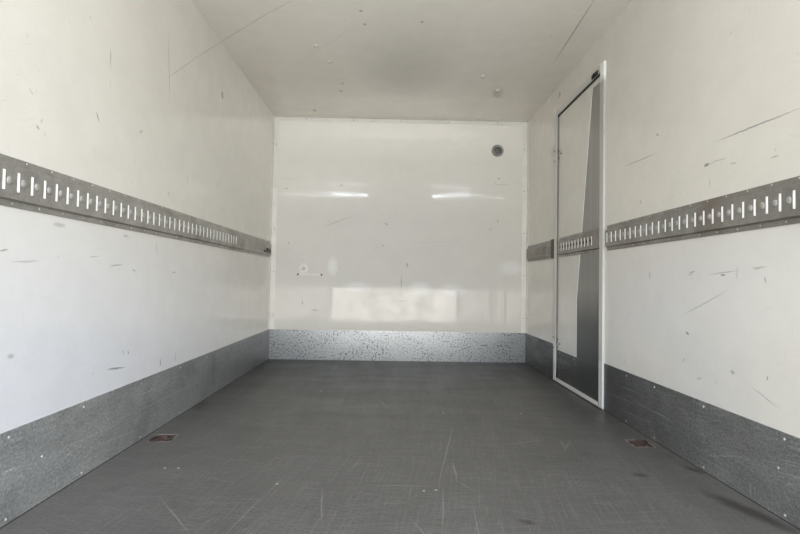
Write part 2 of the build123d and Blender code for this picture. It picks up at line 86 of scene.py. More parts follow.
def spread(tree, value, low, high, to_low=0.0, to_high=1.0):
    """Value between low and high, spread over another range."""
    return add(tree, "MapRange", {"Value": value, "From Min": low, "From Max": high,
                                  "To Min": to_low, "To Max": to_high}).outputs[0]


def parts_of(tree, place):
    """The place's three coordinates, each on its own."""
    return add(tree, "SeparateXYZ", {0: place}).outputs


def drawn_out(tree, place, squeeze, turn=0.0):
    """The place, turned and then squeezed, so that a pattern on it is drawn out."""
    if turn:
        place = add(tree, "Mapping", {"Vector": place, "Rotation": (0, 0, turn)}).outputs[0]
    return add(tree, "Mapping", {"Vector": place, "Scale": squeeze}).outputs[0]


def clouds(tree, place, scale, detail=3.0, rough=0.55):
    """Cloudy pattern between 0 and 1."""
    return add(tree, "TexNoise", {"Vector": place, "Scale": scale, "Detail": detail,
                                  "Roughness": rough}).outputs["Fac"]


def tint(tree, mask, under, over, share=None):
    """One colour laid over another where the mask is 1, in full or by a share."""
    if share is not None:
        mask = maths(tree, "MULTIPLY", mask, share)
    node = add(tree, "Mix", {0: mask}, data_type="RGBA")
    for key, value in ((6, under), (7, over)):
        if isinstance(value, bpy.types.NodeSocket):
            tree.links.new(value, node.inputs[key])
        else:
            node.inputs[key].default_value = (*value, 1)
    return node.outputs[2]


def bumped(tree, shader, height, distance, strength=1.0):
    """Let a pattern stand up from the surface."""
    bump = add(tree, "Bump", {"Height": height, "Distance": distance, "Strength": strength})
    tree.links.new(bump.outputs[0], shader.inputs["Normal"])


def toned(colour, tone):
    """A colour made lighter or darker."""
    return [value * tone for value in colour]


def mottled(name, one, other, scale, roughness, metallic=0.0, detail=3.0, band=None, grain=None):
    """Finish of two tones in clouds. band narrows the clouds, and grain is a fine bump on top."""
    material, tree, shader, place = new_finish(name, roughness, metallic)
    mask = clouds(tree, place, scale, detail)
    if band:
        mask = spread(tree, mask, *band)
    tree.links.new(tint(tree, mask, one, other), shader.inputs["Base Color"])
    if grain:
        grain_scale, distance, strength = grain
        bumped(tree, shader, clouds(tree, place, grain_scale, 2), distance, strength)
    return material


def worn_paint(name, colour, dirt, rust, roughness=0.42):
    """Paint with road dirt in clouds and rust breaking through in spots."""
    material, tree, shader, place = new_finish(name, roughness)
    dirty = spread(tree, clouds(tree, place, 5.0, 6, 0.65), 0.42, 0.72)
    rusty = spread(tree, clouds(tree, place, 34.0, 4, 0.6), 0.66, 0.72)
    mixed = tint(tree, rusty, tint(tree, dirty, colour, dirt), rust)
    tree.links.new(mixed, shader.inputs["Base Color"])
    tree.links.new(spread(tree, dirty, 0, 1, roughness - 0.05, roughness + 0.3), shader.inputs["Roughness"])
    bumped(tree, shader, clouds(tree, place, 90.0, 2), 0.0006, 0.5)
    return material


def dress(material, *nodes):
    """Give CAD nodes their finish."""
    for node in nodes:
        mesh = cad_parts[node].data
        mesh.materials.clear()
        mesh.materials.append(material)


def finished(name, shape, material, body="box_body"):
    """Turn a finished shape into a piece that moves with a body."""
    bmesh.ops.recalc_face_normals(shape, faces=shape.faces)
    mesh = bpy.data.meshes.new(name)
    shape.to_mesh(mesh)
    shape.free()
    mesh.materials.append(material)
    piece = bpy.data.objects.new(name, mesh)
    scene.collection.objects.link(piece)
    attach(piece, body)


def facing(place, way):
    """Transform that stands a part at a place with its top turned one way."""
    turn = Vector((0, 0, 1)).rotation_difference(Vector(way)).to_matrix().to_4x4()
    return Matrix.Translation(place) @ turn


def put_bolt(shape, place, way, radius):
    """Hexagon head on a washer, standing on a surface."""
    washer, head = radius * 0.25, radius * 0.75
    stand = facing(place, way)
    bmesh.ops.create_cone(shape, cap_ends=True, segments=16, radius1=radius * 1.5, radius2=radius * 1.5,
                          depth=washer, matrix=stand @ Matrix.Translation((0, 0, washer / 2)))
    made = bmesh.ops.create_cone(shape, cap_ends=True, segments=6, radius1=radius, radius2=radius,
                                 depth=head, matrix=stand @ Matrix.Translation((0, 0, washer + head / 2)))
    edges = {edge for vert in made["verts"] for edge in vert.link_edges}
    bmesh.ops.bevel(shape, geom=list(edges), offset=radius * 0.08, segments=1, profile=0.5,
                    affect="EDGES", material=-1)


sill_paint = worn_paint("sill_paint", SILL_GREY, SILL_DIRT, SILL_RUST)
dress(sill_paint, "longitudinal_sills", "chassis_brackets")

zinc_bolt = mottled("zinc_bolt", (0.66, 0.65, 0.62), (0.44, 0.42, 0.38), 120.0, 0.32, 0.9, band=(0.35, 0.7))

bracket_low, bracket_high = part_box("chassis_brackets")
x_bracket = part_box("longitudinal_sills")[1].x + BRACKET_LEG
bolts = bmesh.new()
for number in range(BRACKET_COUNT):
    first = bracket_low.y + number * (bracket_high.y - bracket_low.y - BRACKET_LENGTH) / (BRACKET_COUNT - 1)
    for y in (first + BRACKET_BOLT_INSET, first + BRACKET_LENGTH - BRACKET_BOLT_INSET):
        for side in (-1, 1):
            put_bolt(bolts, (side * x_bracket, y, BRACKET_BOLT_RISE), (side, 0, 0), BRACKET_BOLT_RADIUS)
finished("bracket_bolts", bolts, zinc_bolt)

# Cross-members
# Eleven pressed sections of galvanised steel lie across the sills under the deck. They keep the
# mill's zinc, with its crystals, white bloom and mud thrown up by the wheels.
ZINC = (0.36, 0.37, 0.375)
ZINC_DULL = (0.22, 0.225, 0.23)
MUD = (0.16, 0.14, 0.115)


def galvanised(name, bright, dull, dirt, roughness=0.42, metallic=0.45, grime=0.6, scale=70.0):
    """Hot-dip zinc: crystals of two tones, rubbed streaks and some dirt."""
    material, tree, shader, place = new_finish(name, roughness, metallic)
    crystals = add(tree, "TexVoronoi", {"Vector": place, "Scale": scale}).outputs["Color"]
    tone = maths(tree, "MULTIPLY", add(tree, "SeparateColor", {0: crystals}).outputs[0], 0.35)
    rubbed = spread(tree, clouds(tree, place, scale * 0.1, 6, 0.7), 0.32, 0.7)
    colour = tint(tree, maths(tree, "ADD", tone, maths(tree, "MULTIPLY", rubbed, 0.65)), bright, dull)
    dirty = maths(tree, "MULTIPLY", spread(tree, clouds(tree, place, 3.1, 5, 0.6), 0.5, 0.7), grime)
    tree.links.new(tint(tree, dirty, colour, dirt), shader.inputs["Base Color"])
    dullness = spread(tree, rubbed, 0, 1, roughness - 0.08, roughness + 0.14)
    tree.links.new(dullness, shader.inputs["Roughness"])
    bumped(tree, shader, clouds(tree, place, 40.0, 2), 0.0004, 0.4)
    return material


cross_zinc = galvanised("cross_zinc", ZINC, ZINC_DULL, MUD)
dress(cross_zinc, "cross_members")

# Deck
# Birch plywood with a dark phenolic film on top. Wheels and boots have worn the film grey-brown
# in streaks along and across, and left stains by the walls.
FILM = (0.063, 0.062, 0.060)
FILM_WORN = (0.116, 0.113, 0.109)
FILM_PALE = (0.188, 0.184, 0.177)
DECK_BRUSHED = (0.10, 1.42, -0.35)
# Painted shade laid on the deck towards the front wall
FILM_SHADE = (0.034, 0.034, 0.036)
PALE_SCRATCH = (0.30, 0.295, 0.28)
FLOOR_STAIN = (0.035, 0.030, 0.028)
PLYWOOD_EDGE = (0.32, 0.22, 0.13)
# The larger marks on the deck: side, behind the front wall, half length, half width, turn
DECK_STAINS = ((0.802, 2.449, 0.024, 0.018, 0.3), (1.020, 2.391, 0.040, 0.016, 1.3),
               (0.985, 2.720, 0.130, 0.028, 1.25), (-1.022, 1.560, 0.090, 0.026, 1.4),
               (0.320, 2.800, 0.022, 0.010, 0.4))
DECK_SCRATCHES = ((0.165, 2.220, 0.280, 0.0022, -1.38), (-0.45, 2.760, 0.105, 0.0018, -1.42),
                  (0.040, 2.880, 0.090, 0.0018, 1.20), (0.175, 2.900, 0.170, 0.0016, -1.50),
                  (0.488, 2.105, 0.085, 0.0025, -0.41), (-0.090, 1.480, 0.090, 0.0030, 1.30),
                  (-0.640, 2.780, 0.110, 0.0020, 0.90), (0.190, 2.560, 0.040, 0.0018, 1.10),
                  (-0.020, 2.560, 0.100, 0.0024, 0.03), (0.720, 1.500, 0.050, 0.0020, 0.00),
                  (0.170, 2.428, 0.065, 0.0034, -1.55), (0.644, 2.132, 0.052, 0.0030, -1.40),
                  (0.659, 2.138, 0.051, 0.0030, -1.09), (-0.249, 2.704, 0.096, 0.0018, 1.44),
                  (0.100, 2.721, 0.130, 0.0018, -1.47))

y_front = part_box("front_wall")[0].y
z_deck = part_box("deck")[1].z
x_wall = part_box("deck")[1].x


def inside(x, back, up):
    """Point in the load space: from the middle, behind the front wall, above the deck."""
    return Vector((x, y_front - back, z_deck + up))


def lying(tree, place, on):
    """Flat place on a panel: across or back, and up or back."""
    x, y, z = parts_of(tree, place)
    back = maths(tree, "SUBTRACT", y_front, y)
    up = maths(tree, "SUBTRACT", z, z_deck)
    first, second = {"side": (back, up), "front": (x, up), "level": (x, back)}[on]
    return add(tree, "CombineXYZ", {0: first, 1: second}).outputs[0]


def shaken(tree, place, amount, scale):
    """The place, shaken a little, so that a mark drawn on it gets a ragged edge."""
    noise = add(tree, "TexNoise", {"Vector": place, "Scale": scale, "Detail": 3.0}).outputs["Color"]
    shake = add(tree, "VectorMath", {0: noise, 1: (0.5, 0.5, 0.5)}, operation="SUBTRACT").outputs[0]
    shake = add(tree, "VectorMath", {0: shake, 1: (amount, amount, 0)}, operation="MULTIPLY").outputs[0]
    return add(tree, "VectorMath", {0: place, 1: shake}, operation="ADD").outputs[0]


def spot(tree, place, centre, half, turn=0.0, edge=0.35):
    """Mask of one oval mark. A long thin one is a scratch."""
    sized = add(tree, "Mapping", {"Vector": place, "Location": (*centre, 0), "Rotation": (0, 0, turn),
                                  "Scale": (*half, 1)}, vector_type="TEXTURE").outputs[0]
    reach = add(tree, "VectorMath", {0: sized}, operation="LENGTH").outputs["Value"]
    return spread(tree, reach, 1.0 + edge, 1.0 - edge)


def fine_scratches(tree, place, turns, length, width, cover):
    """Mask of many fine scratches that lie in a few directions."""
    total = None
    for number, turn in enumerate(turns):
        line = clouds(tree, drawn_out(tree, place, (1 / length, 1 / width, 1), turn), 1.0, 2, 0.5)
        patch = spread(tree, clouds(tree, place, 1.7 + 0.6 * number, 2), 0.46, 0.6)
        mask = maths(tree, "MULTIPLY", spread(tree, line, cover, cover + 0.03), patch)
        total = mask if total is None else maths(tree, "MAXIMUM", total, mask)
    return total


deck_film, tree, shader, place = new_finish("deck_film", 0.5)
flat = lying(tree, place, "level")
across = spread(tree, clouds(tree, drawn_out(tree, flat, (0.9, 3.4, 1)), 1.6, 7, 0.68), 0.36, 0.66)
along = spread(tree, clouds(tree, drawn_out(tree, flat, (5.5, 0.6, 1)), 1.3, 6, 0.65), 0.40, 0.64)
worn = maths(tree, "ADD", maths(tree, "MULTIPLY", across, 0.6), maths(tree, "MULTIPLY", along, 0.4))
colour = tint(tree, worn, FILM, FILM_WORN)
for number, turn in enumerate(DECK_BRUSHED):
    squeezed = drawn_out(tree, flat, (2.2, 46 + 9 * number, 1), turn)
    brushed = spread(tree, clouds(tree, squeezed, 2.0, 6, 0.75), 0.50, 0.72)
    colour = tint(tree, brushed, colour, FILM_PALE, 0.65)
grain = spread(tree, clouds(tree, drawn_out(tree, flat, (90, 190, 1)), 1.0, 3, 0.7), 0.30, 0.72, 0.74, 1.24)
across_x, back_y, _ = parts_of(tree, flat)
by_walls = spread(tree, maths(tree, "ABSOLUTE", across_x), 0.70, 1.04)
dusted = maths(tree, "MULTIPLY", by_walls, spread(tree, back_y, 1.6, 2.6, 0.0, 0.45))
colour = tint(tree, dusted, colour, FILM_PALE)
# The film is painted darker in cloudy patches towards the front wall: painted shade, as the daylight from
# the rear end falls off deeper in the box.
shade_by_front = maths(tree, "MULTIPLY", spread(tree, back_y, 2.7, 0.4), 0.75)
painted_front_shade = maths(tree, "MULTIPLY", shade_by_front, spread(tree, clouds(tree, flat, 3.0, 4), 0.1, 0.5))
colour = tint(tree, painted_front_shade, colour, FILM_SHADE)
scuffed = fine_scratches(tree, flat, (0.25, -0.5, 1.2, 0.9, 1.5), 0.22, 0.0034, 0.655)
colour = tint(tree, scuffed, colour, PALE_SCRATCH, 0.4)
specks = spread(tree, clouds(tree, flat, 60.0, 2, 0.4), 0.76, 0.80)
colour = tint(tree, specks, colour, PALE_SCRATCH, 0.6)
bent = shaken(tree, flat, 0.006, 9.0)
for x, back, half_length, half_width, turn in DECK_SCRATCHES:
    line = spot(tree, bent, (x, back), (half_length, half_width), turn, 0.5)
    colour = tint(tree, line, colour, PALE_SCRATCH, 0.5)
ragged = shaken(tree, flat, 0.02, 30.0)
for x, back, half_length, half_width, turn in DECK_STAINS:
    stain = spot(tree, ragged, (x, back), (half_length, half_width), turn, 0.45)
    colour = tint(tree, stain, colour, FLOOR_STAIN, 0.8)
colour = add(tree, "VectorMath", {0: colour, 3: grain}, operation="SCALE").outputs[0]
on_top = maths(tree, "GREATER_THAN", parts_of(tree, place)[2], z_deck - 0.0008)
tree.links.new(tint(tree, on_top, PLYWOOD_EDGE, colour), shader.inputs["Base Color"])
tree.links.new(spread(tree, worn, 0, 1, 0.34, 0.54), shader.inputs["Roughness"])
bumped(tree, shader, clouds(tree, drawn_out(tree, flat, (220, 160, 1)), 1.0, 2), 0.0004, 0.5)
dress(deck_film, "deck")

# Deck screws
# Self-tapping screws with flat heads hold the boards to the cross-members. Most heads are filled
# and worn level, and a few still shine.
DECK_SCREWS = ((-0.820, 2.431), (-0.774, 2.430), (0.552, 2.96), (-0.46, 1.18), (0.21, 1.64), (0.60, 1.64),
               (0.053, 2.601), (0.091, 2.593), (-0.411, 2.558))
DECK_SCREW_RADIUS = 0.0048
DECK_SCREW_THICKNESS = 0.0008

screws = bmesh.new()
for x, back in DECK_SCREWS:
    bmesh.ops.create_cone(screws, cap_ends=True, segments=12, radius1=DECK_SCREW_RADIUS,
                          radius2=DECK_SCREW_RADIUS * 0.9, depth=DECK_SCREW_THICKNESS,
                          matrix=Matrix.Translation(inside(x, back, DECK_SCREW_THICKNESS / 2)))
finished("deck_screws", screws, zinc_bolt)

# Lashing points
# Pressed steel pans are let into the deck with a folding link in each, for straps. Their zinc has
# gone and they have rusted brown, with a rubbed bright rim.
RUST = (0.055, 0.036, 0.032)
RUST_LIGHT = (0.145, 0.100, 0.090)
RIM_DARK = (0.035, 0.030, 0.028)
RIM_PALE = (0.46, 0.43, 0.40)

rusty_steel, tree, shader, place = new_finish("rusty_steel", 0.75, 0.1)
flakes = spread(tree, clouds(tree, place, 60.0, 6, 0.7), 0.35, 0.65)
rim = maths(tree, "GREATER_THAN", parts_of(tree, place)[2], z_deck - 0.0006)
rim_tone = tint(tree, spread(tree, clouds(tree, place, 24.0, 3), 0.42, 0.50), RIM_DARK, RIM_PALE)
tree.links.new(tint(tree, rim, tint(tree, flakes, RUST, RUST_LIGHT), rim_tone), shader.inputs["Base Color"])
bumped(tree, shader, flakes, 0.0008, 0.7)
dress(rusty_steel, "lashing_points")

# Walls and ceiling
# Sandwich panels with a glossy white gel coat on both faces, each made in one piece. Loads have
# left scuffs and fine scratches on the inside, and rain has left streaks on the outside.
GEL_WHITE = (0.838, 0.800, 0.718)
GEL_DULL = (0.782, 0.746, 0.666)
# Blue tint of painted skylight on the side walls
GEL_SKYLIT = (0.824, 0.838, 0.880)
# Painted light laid on the white skin in broad patches
LIT_WHITE = (0.975, 0.940, 0.855)
SCUFF_GREY = (0.28, 0.27, 0.25)
GLINT_WHITE = (0.97, 0.96, 0.93)
SHADED = (0.50, 0.485, 0.455)
# The marks that stand out on each panel's inner skin: place, half length, half width, turn, strength
LEFT_MARKS = ((1.970, 1.565, 0.113, 0.0018, 1.45, 0.8), (2.428, 1.410, 0.028, 0.0022, 1.55, 0.7),
              (2.422, 1.317, 0.017, 0.0018, 1.51, 0.3), (2.494, 1.183, 0.015, 0.0026, 1.11, 0.9),
              (2.777, 1.061, 0.007, 0.0030, 0.67, 0.8), (2.763, 1.083, 0.007, 0.0022, -1.20, 0.5),
              (2.808, 1.151, 0.009, 0.0018, 0.70, 0.5), (2.200, 1.219, 0.014, 0.0040, -0.60, 0.5),
              (1.817, 1.639, 0.180, 0.0032, -0.63, 0.3), (1.498, 1.867, 0.220, 0.0032, -0.61, 0.3),
              (2.885, 0.712, 0.014, 0.0024, -0.18, 0.7), (2.804, 0.686, 0.044, 0.0024, -0.06, 0.4),
              (2.488, 0.714, 0.023, 0.0020, -0.07, 0.4), (2.346, 0.690, 0.040, 0.0018, -0.06, 0.7),
              (2.221, 0.675, 0.012, 0.0026, 0.28, 0.5), (1.858, 0.673, 0.018, 0.0030, 0.05, 0.5),
              (2.038, 0.774, 0.028, 0.0026, 1.46, 0.4), (2.244, 0.364, 0.007, 0.0030, 0.98, 0.8),
              (2.846, 0.436, 0.011, 0.0060, 0.18, 0.45), (2.328, 0.317, 0.050, 0.0030, 0.10, 0.9),
              (1.970, 0.283, 0.014, 0.0030, 1.57, 0.9), (1.817, 0.285, 0.021, 0.0024, 1.48, 0.5),
              (2.670, 0.800, 0.024, 0.0060, 0.00, 0.4), (2.288, 0.801, 0.016, 0.0050, 0.00, 0.35),
              (1.736, 1.125, 0.020, 0.0020, 1.50, 0.6))
RIGHT_MARKS = ((2.657, 1.144, 0.150, 0.0024, -0.02, 0.8), (1.925, 1.213, 0.120, 0.0026, -0.04, 0.55),
               (2.422, 1.079, 0.013, 0.0048, 0.04, 1.0), (2.481, 1.079, 0.046, 0.0018, -0.01, 0.5),
               (2.085, 1.284, 0.012, 0.0040, -0.60, 0.7), (2.745, 1.029, 0.016, 0.0022, 0.00, 0.5),
               (2.564, 1.052, 0.014, 0.0028, -0.15, 0.4), (2.439, 1.013, 0.016, 0.0024, 1.60, 0.35),
               (2.024, 0.691, 0.016, 0.0050, -1.36, 0.4), (2.332, 0.700, 0.018, 0.0030, 0.19, 0.6),
               (2.325, 0.690, 0.015, 0.0022, 0.03, 0.4), (2.514, 0.696, 0.062, 0.0018, 0.06, 0.5),
               (2.580, 0.692, 0.021, 0.0020, 1.47, 0.4), (2.511, 0.688, 0.012, 0.0030, -0.08, 0.8),
               (2.679, 0.708, 0.026, 0.0030, 0.06, 0.4), (2.398, 0.585, 0.114, 0.0022, 0.36, 0.45),
               (2.304, 0.472, 0.009, 0.0040, -0.30, 0.9), (2.704, 0.671, 0.009, 0.0030, -1.25, 0.5),
               (2.558, 0.373, 0.009, 0.0060, -0.26, 0.5), (2.700, 0.324, 0.051, 0.0018, -0.34, 0.4),
               (2.712, 0.382, 0.006, 0.0020, 1.57, 0.8), (2.378, 0.319, 0.014, 0.0030, 0.21, 0.4))
FRONT_MARKS = ((-0.508, 1.135, 0.106, 0.0030, 0.39, 0.5), (-0.110, 1.120, 0.015, 0.0060, -0.57, 0.6),
               (-0.910, 0.949, 0.006, 0.0050, 0.0, 0.8), (-0.135, 0.942, 0.006, 0.0060, 0.0, 0.8),
               (-0.486, 1.433, 0.012, 0.0060, 0.52, 0.6), (-0.936, 1.397, 0.012, 0.0040, 0.0, 0.6),
               (0.814, 1.515, 0.008, 0.0060, 0.0, 0.7), (0.843, 1.465, 0.052, 0.0035, 0.05, 0.3),
               (0.810, 1.160, 0.018, 0.0045, 1.55, 0.5), (0.750, 1.092, 0.010, 0.0040, 0.5, 0.5),
               (0.067, 0.786, 0.017, 0.0050, -1.36, 0.8), (0.020, 0.643, 0.052, 0.0035, 1.55, 0.6),
               (-0.681, 0.404, 0.025, 0.0045, 0.0, 0.6), (-0.784, 0.464, 0.014, 0.0045, -1.45, 0.7),
               (0.033, 0.490, 0.032, 0.0030, 0.0, 0.5), (0.300, 0.980, 0.180, 0.0020, 0.02, 0.2),
               (-0.930, 1.480, 0.080, 0.0020, 0.0, 0.2))
# Painted glints and reflections on the front wall: the bright squiggles high up are glints off scratches,
# and the broad pale patches low down are a painted reflection of the open doorway
FRONT_GLINTS = ((0.452, 1.840, 0.030, 0.0060, 0.71, 0.9), (0.498, 1.874, 0.032, 0.0060, 0.57, 0.9),
                (0.553, 1.902, 0.034, 0.0045, 0.38, 0.7), (0.417, 1.769, 0.024, 0.0050, -0.50, 0.9),
                (0.469, 1.766, 0.036, 0.0060, 0.21, 0.9), (0.522, 1.796, 0.033, 0.0055, 0.87, 0.8),
                (0.570, 1.851, 0.043, 0.0045, 0.84, 0.6), (0.870, 1.949, 0.014, 0.0080, 0.27, 0.9),
                (-0.544, 0.766, 0.035, 0.0650, 0.01, 0.5), (-0.346, 0.598, 0.100, 0.0350, 0.02, 0.5),
                (0.179, 0.590, 0.078, 0.0500, -0.09, 0.5), (0.443, 0.586, 0.088, 0.0450, -0.17, 0.4),
                (0.923, 0.776, 0.085, 0.0550, 0.02, 0.4), (-0.782, 0.742, 0.032, 0.0400, 0.0, 0.35))
CEILING_MARKS = ((0.887, 1.540, 0.310, 0.0040, -1.53, 0.6), (-0.234, 1.692, 0.008, 0.010, 0.0, 0.6),
                 (-0.222, 1.560, 0.008, 0.012, 0.0, 0.6), (0.076, 1.598, 0.008, 0.010, 0.0, 0.6),
                 (-0.957, 1.410, 0.135, 0.0038, 0.77, 0.3), (-0.784, 1.575, 0.115, 0.0038, 0.76, 0.3),
                 (-0.633, 1.709, 0.100, 0.0038, 0.69, 0.25), (-0.500, 1.250, 0.400, 0.0030, 0.9, 0.15))
# Broad soft patches of painted shade and reflection (shades) and of painted light (lit), written as the
# marks are
CEILING_SHADES = ((0.0, 1.20, 0.24, 0.46, 0.0, 0.60),)
RIGHT_SHADES = ((1.75, 1.62, 0.42, 0.34, 0.0, 0.10),)
FRONT_SHADES = ((0.0, 1.10, 1.30, 0.50, 0.0, 0.34), (0.35, 1.50, 0.75, 0.14, 0.0, 0.12),
                (0.0, 0.50, 1.40, 0.34, 0.0, 0.26))
# Lighter patches of painted light on each panel
LEFT_LIT = ((0.30, 1.72, 0.70, 0.42, 0.0, 0.85),)
RIGHT_LIT = ((2.95, 0.36, 0.55, 0.34, 0.0, 0.85), (1.95, 0.32, 0.30, 0.12, 0.0, 0.6))
FRONT_LIT = ((0.0, 1.90, 1.60, 0.17, 0.0, 0.85), (0.0, 1.62, 1.60, 0.30, 0.0, 0.35))
CEILING_LIT = ((-0.1, 2.10, 1.40, 0.80, 0.0, 0.9),)
SKIN_DEPTH = 0.004


def laid_on(tree, place, colour, marks, tone, edge):
    """Colour with a list of marks laid over it."""
    for a, b, half_length, half_width, turn, strength in marks:
        mark = spot(tree, place, (a, b), (half_length, half_width), turn, edge)
        colour = tint(tree, mark, colour, tone, strength)
    return colour


def gel_coat(name, on, inner_side, marks=(), rubbed=(), shades=(), lit_patches=(), tone=1.0):
    """Glossy white skin. inner_side gives the mask of the face that looks into the load space."""
    material, tree, shader, place = new_finish(name, 0.08)
    flat = lying(tree, place, on)
    cloudy = spread(tree, clouds(tree, flat, 1.1, 5, 0.6), 0.35, 0.72)
    plain = tint(tree, cloudy, toned(GEL_WHITE, tone), toned(GEL_DULL, tone))
    if on == "side":
        back_y, up_z, _ = parts_of(tree, flat)
        # Low down and towards the rear end the side walls are tinted blue: painted skylight from the open
        # rear end.
        low_down = spread(tree, up_z, 1.0, 0.35)
        painted_skylight = maths(tree, "MULTIPLY", low_down, spread(tree, back_y, 0.6, 2.6, 0.25, 1.0))
        plain = tint(tree, painted_skylight, plain, GEL_SKYLIT)
    indoors = inner_side(tree, parts_of(tree, place))
    scuffs = fine_scratches(tree, flat, (0.06, 0.45, -0.3, 1.5), 0.07, 0.0030, 0.700)
    specks = spread(tree, clouds(tree, flat, 26.0, 2, 0.4), 0.745, 0.785)
    scuffs = maths(tree, "MULTIPLY", scuffs, 0.25)
    dirt = maths(tree, "MAXIMUM", scuffs, maths(tree, "MULTIPLY", specks, 0.30))
    # Broad patches of painted shade and painted reflection
    inner = laid_on(tree, flat, plain, shades, SHADED, 0.6)
    # Broad patches of painted light
    inner = laid_on(tree, flat, inner, lit_patches, LIT_WHITE, 0.6)
    inner = tint(tree, dirt, inner, SCUFF_GREY)
    ragged = shaken(tree, flat, 0.006, 60.0)
    inner = laid_on(tree, ragged, inner, marks, SCUFF_GREY, 0.45)
    # Painted glints and painted reflections in white
    inner = laid_on(tree, ragged, inner, rubbed, GLINT_WHITE, 0.45)
    rain = spread(tree, clouds(tree, drawn_out(tree, flat, (9, 0.5, 1)), 1.4, 4, 0.6), 0.5, 0.8, 0.0, 0.16)
    outer = tint(tree, rain, plain, SCUFF_GREY)
    tree.links.new(tint(tree, indoors, outer, inner), shader.inputs["Base Color"])
    polish = spread(tree, clouds(tree, flat, 2.4, 4), 0.3, 0.7, 0.025, 0.10)
    tree.links.new(polish, shader.inputs["Roughness"])
    filmed = spread(tree, clouds(tree, flat, 7.0, 5, 0.65), 0.38, 0.62, 0.64, 0.32)
    tree.links.new(filmed, shader.inputs["Specular IOR Level"])
    bumped(tree, shader, clouds(tree, drawn_out(tree, flat, (1.0, 0.6, 1)), 2.6, 2), 0.0035, 0.2)
    return material


def between_walls(tree, spots):
    """Mask of the side walls' inner faces."""
    return maths(tree, "LESS_THAN", maths(tree, "ABSOLUTE", spots[0]), x_wall + SKIN_DEPTH)


def below_roof(tree, spots):
    """Mask of the ceiling's face."""
    return maths(tree, "LESS_THAN", spots[2], z_ceiling + SKIN_DEPTH)


def behind_front(tree, spots):
    """Mask of the front wall's inner face."""
    return maths(tree, "LESS_THAN", spots[1], y_front + SKIN_DEPTH)


z_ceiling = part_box("roof")[0].z
dress(gel_coat("gel_coat_left", "side", between_walls, LEFT_MARKS, (), (), LEFT_LIT), "wall_left")
dress(gel_coat("gel_coat_right", "side", between_walls, RIGHT_MARKS, (), RIGHT_SHADES, RIGHT_LIT),
      "wall_right_rear", "wall_right_front", "wall_right_header")
dress(gel_coat("gel_coat_front", "front", behind_front, FRONT_MARKS, FRONT_GLINTS, FRONT_SHADES,
               FRONT_LIT), "front_wall")
# The roof's skin is toned a little lighter than the walls': painted light on the ceiling.
dress(gel_coat("gel_coat_roof", "level", below_roof, CEILING_MARKS, (), CEILING_SHADES, CEILING_LIT,
               1.04), "roof")

# Blind caps
# White plastic caps cover old fixings on the ceiling and on the walls. Those on the ceiling stand
# out as a grey dome in a flat rim, and those on the walls are a rim round a flat grey disc.
CEILING_CAPS = ((-0.515, 1.298, 0.018), (-0.461, 1.088, 0.018), (-0.418, 0.757, 0.019),
                (-0.439, 0.612, 0.019), (-0.688, 0.190, 0.021), (0.662, 0.689, 0.031),
                (0.513, 0.919, 0.024))
LEFT_CAP = (1.281, 1.700, 0.036)
RIGHT_CAP = (0.820, 1.920, 0.034)
FRONT_CAP = (-0.782, 0.742, 0.030)
CAP_THICKNESS = 0.0012
CAP_MIDDLE_SET = 0.0008


def put_dome(shape, place, way, radius, rise, around=10, up=6):
    """Domed head, its lower half sunk in the surface."""
    size = Matrix.Diagonal((radius, radius, rise, 1))
    made = bmesh.ops.create_uvsphere(shape, u_segments=around, v_segments=up, radius=1,
                                     matrix=facing(place, way) @ size)
    for face in {face for vert in made["verts"] for face in vert.link_faces}:
        face.smooth = True


cap_plastic = mottled("cap_plastic", (0.90, 0.86, 0.79), (0.80, 0.76, 0.69), 20.0, 0.25)
cap_shade = mottled("cap_shade", (0.62, 0.60, 0.54), (0.52, 0.50, 0.45), 20.0, 0.2)
caps = bmesh.new()
rings = bmesh.new()


def put_cap(place, way, radius, rise):
    """Rim and middle of one cap."""
    stand = facing(place, way)
    bmesh.ops.create_cone(caps, cap_ends=True, segments=24, radius1=radius, radius2=radius * 0.94,
                          depth=CAP_THICKNESS, matrix=stand @ Matrix.Translation((0, 0, CAP_THICKNESS / 2)))
    put_dome(rings, place + Vector(way) * CAP_MIDDLE_SET, way, radius * 0.66, rise, 20, 10)


for x, back, radius in CEILING_CAPS:
    put_cap(inside(x, back, z_ceiling - z_deck), (0, 0, -1), radius, radius * 0.45)
put_cap(inside(-x_wall, LEFT_CAP[0], LEFT_CAP[1]), (1, 0, 0), LEFT_CAP[2], CAP_THICKNESS)
put_cap(inside(x_wall, RIGHT_CAP[0], RIGHT_CAP[1]), (-1, 0, 0), RIGHT_CAP[2], CAP_THICKNESS)
put_cap(inside(FRONT_CAP[0], 0, FRONT_CAP[1]), (0, -1, 0), FRONT_CAP[2], CAP_THICKNESS)
finished("blind_caps", caps, cap_plastic)
finished("blind_cap_rings", rings, cap_shade)

# Front wall bar
# A thin white plastic strip lies flat on the front wall. A dark domed screw through each end holds
# it.
BAR_ENDS = (-0.830, -0.630)
BAR_HEIGHT = 0.694
BAR_HALF = 0.006
BAR_THICKNESS = 0.003
BAR_SCREW_INSET = 0.004
BAR_SCREW_RADIUS = 0.008


def put_block(shape, low, high, rounding=0.0):
    """Block between two corners, its edges rounded where asked."""
    low, high = Vector(low), Vector(high)
    size = [max(b - a, a - b) for a, b in zip(low, high)]
    made = bmesh.ops.create_cube(shape, size=1, matrix=Matrix.Translation((low + high) / 2)
                                 @ Matrix.Diagonal((*size, 1)))
    if rounding:
        edges = {edge for vert in made["verts"] for edge in vert.link_edges}
        bmesh.ops.bevel(shape, geom=list(edges), offset=rounding, segments=2, profile=0.5,
                        affect="EDGES", material=-1)


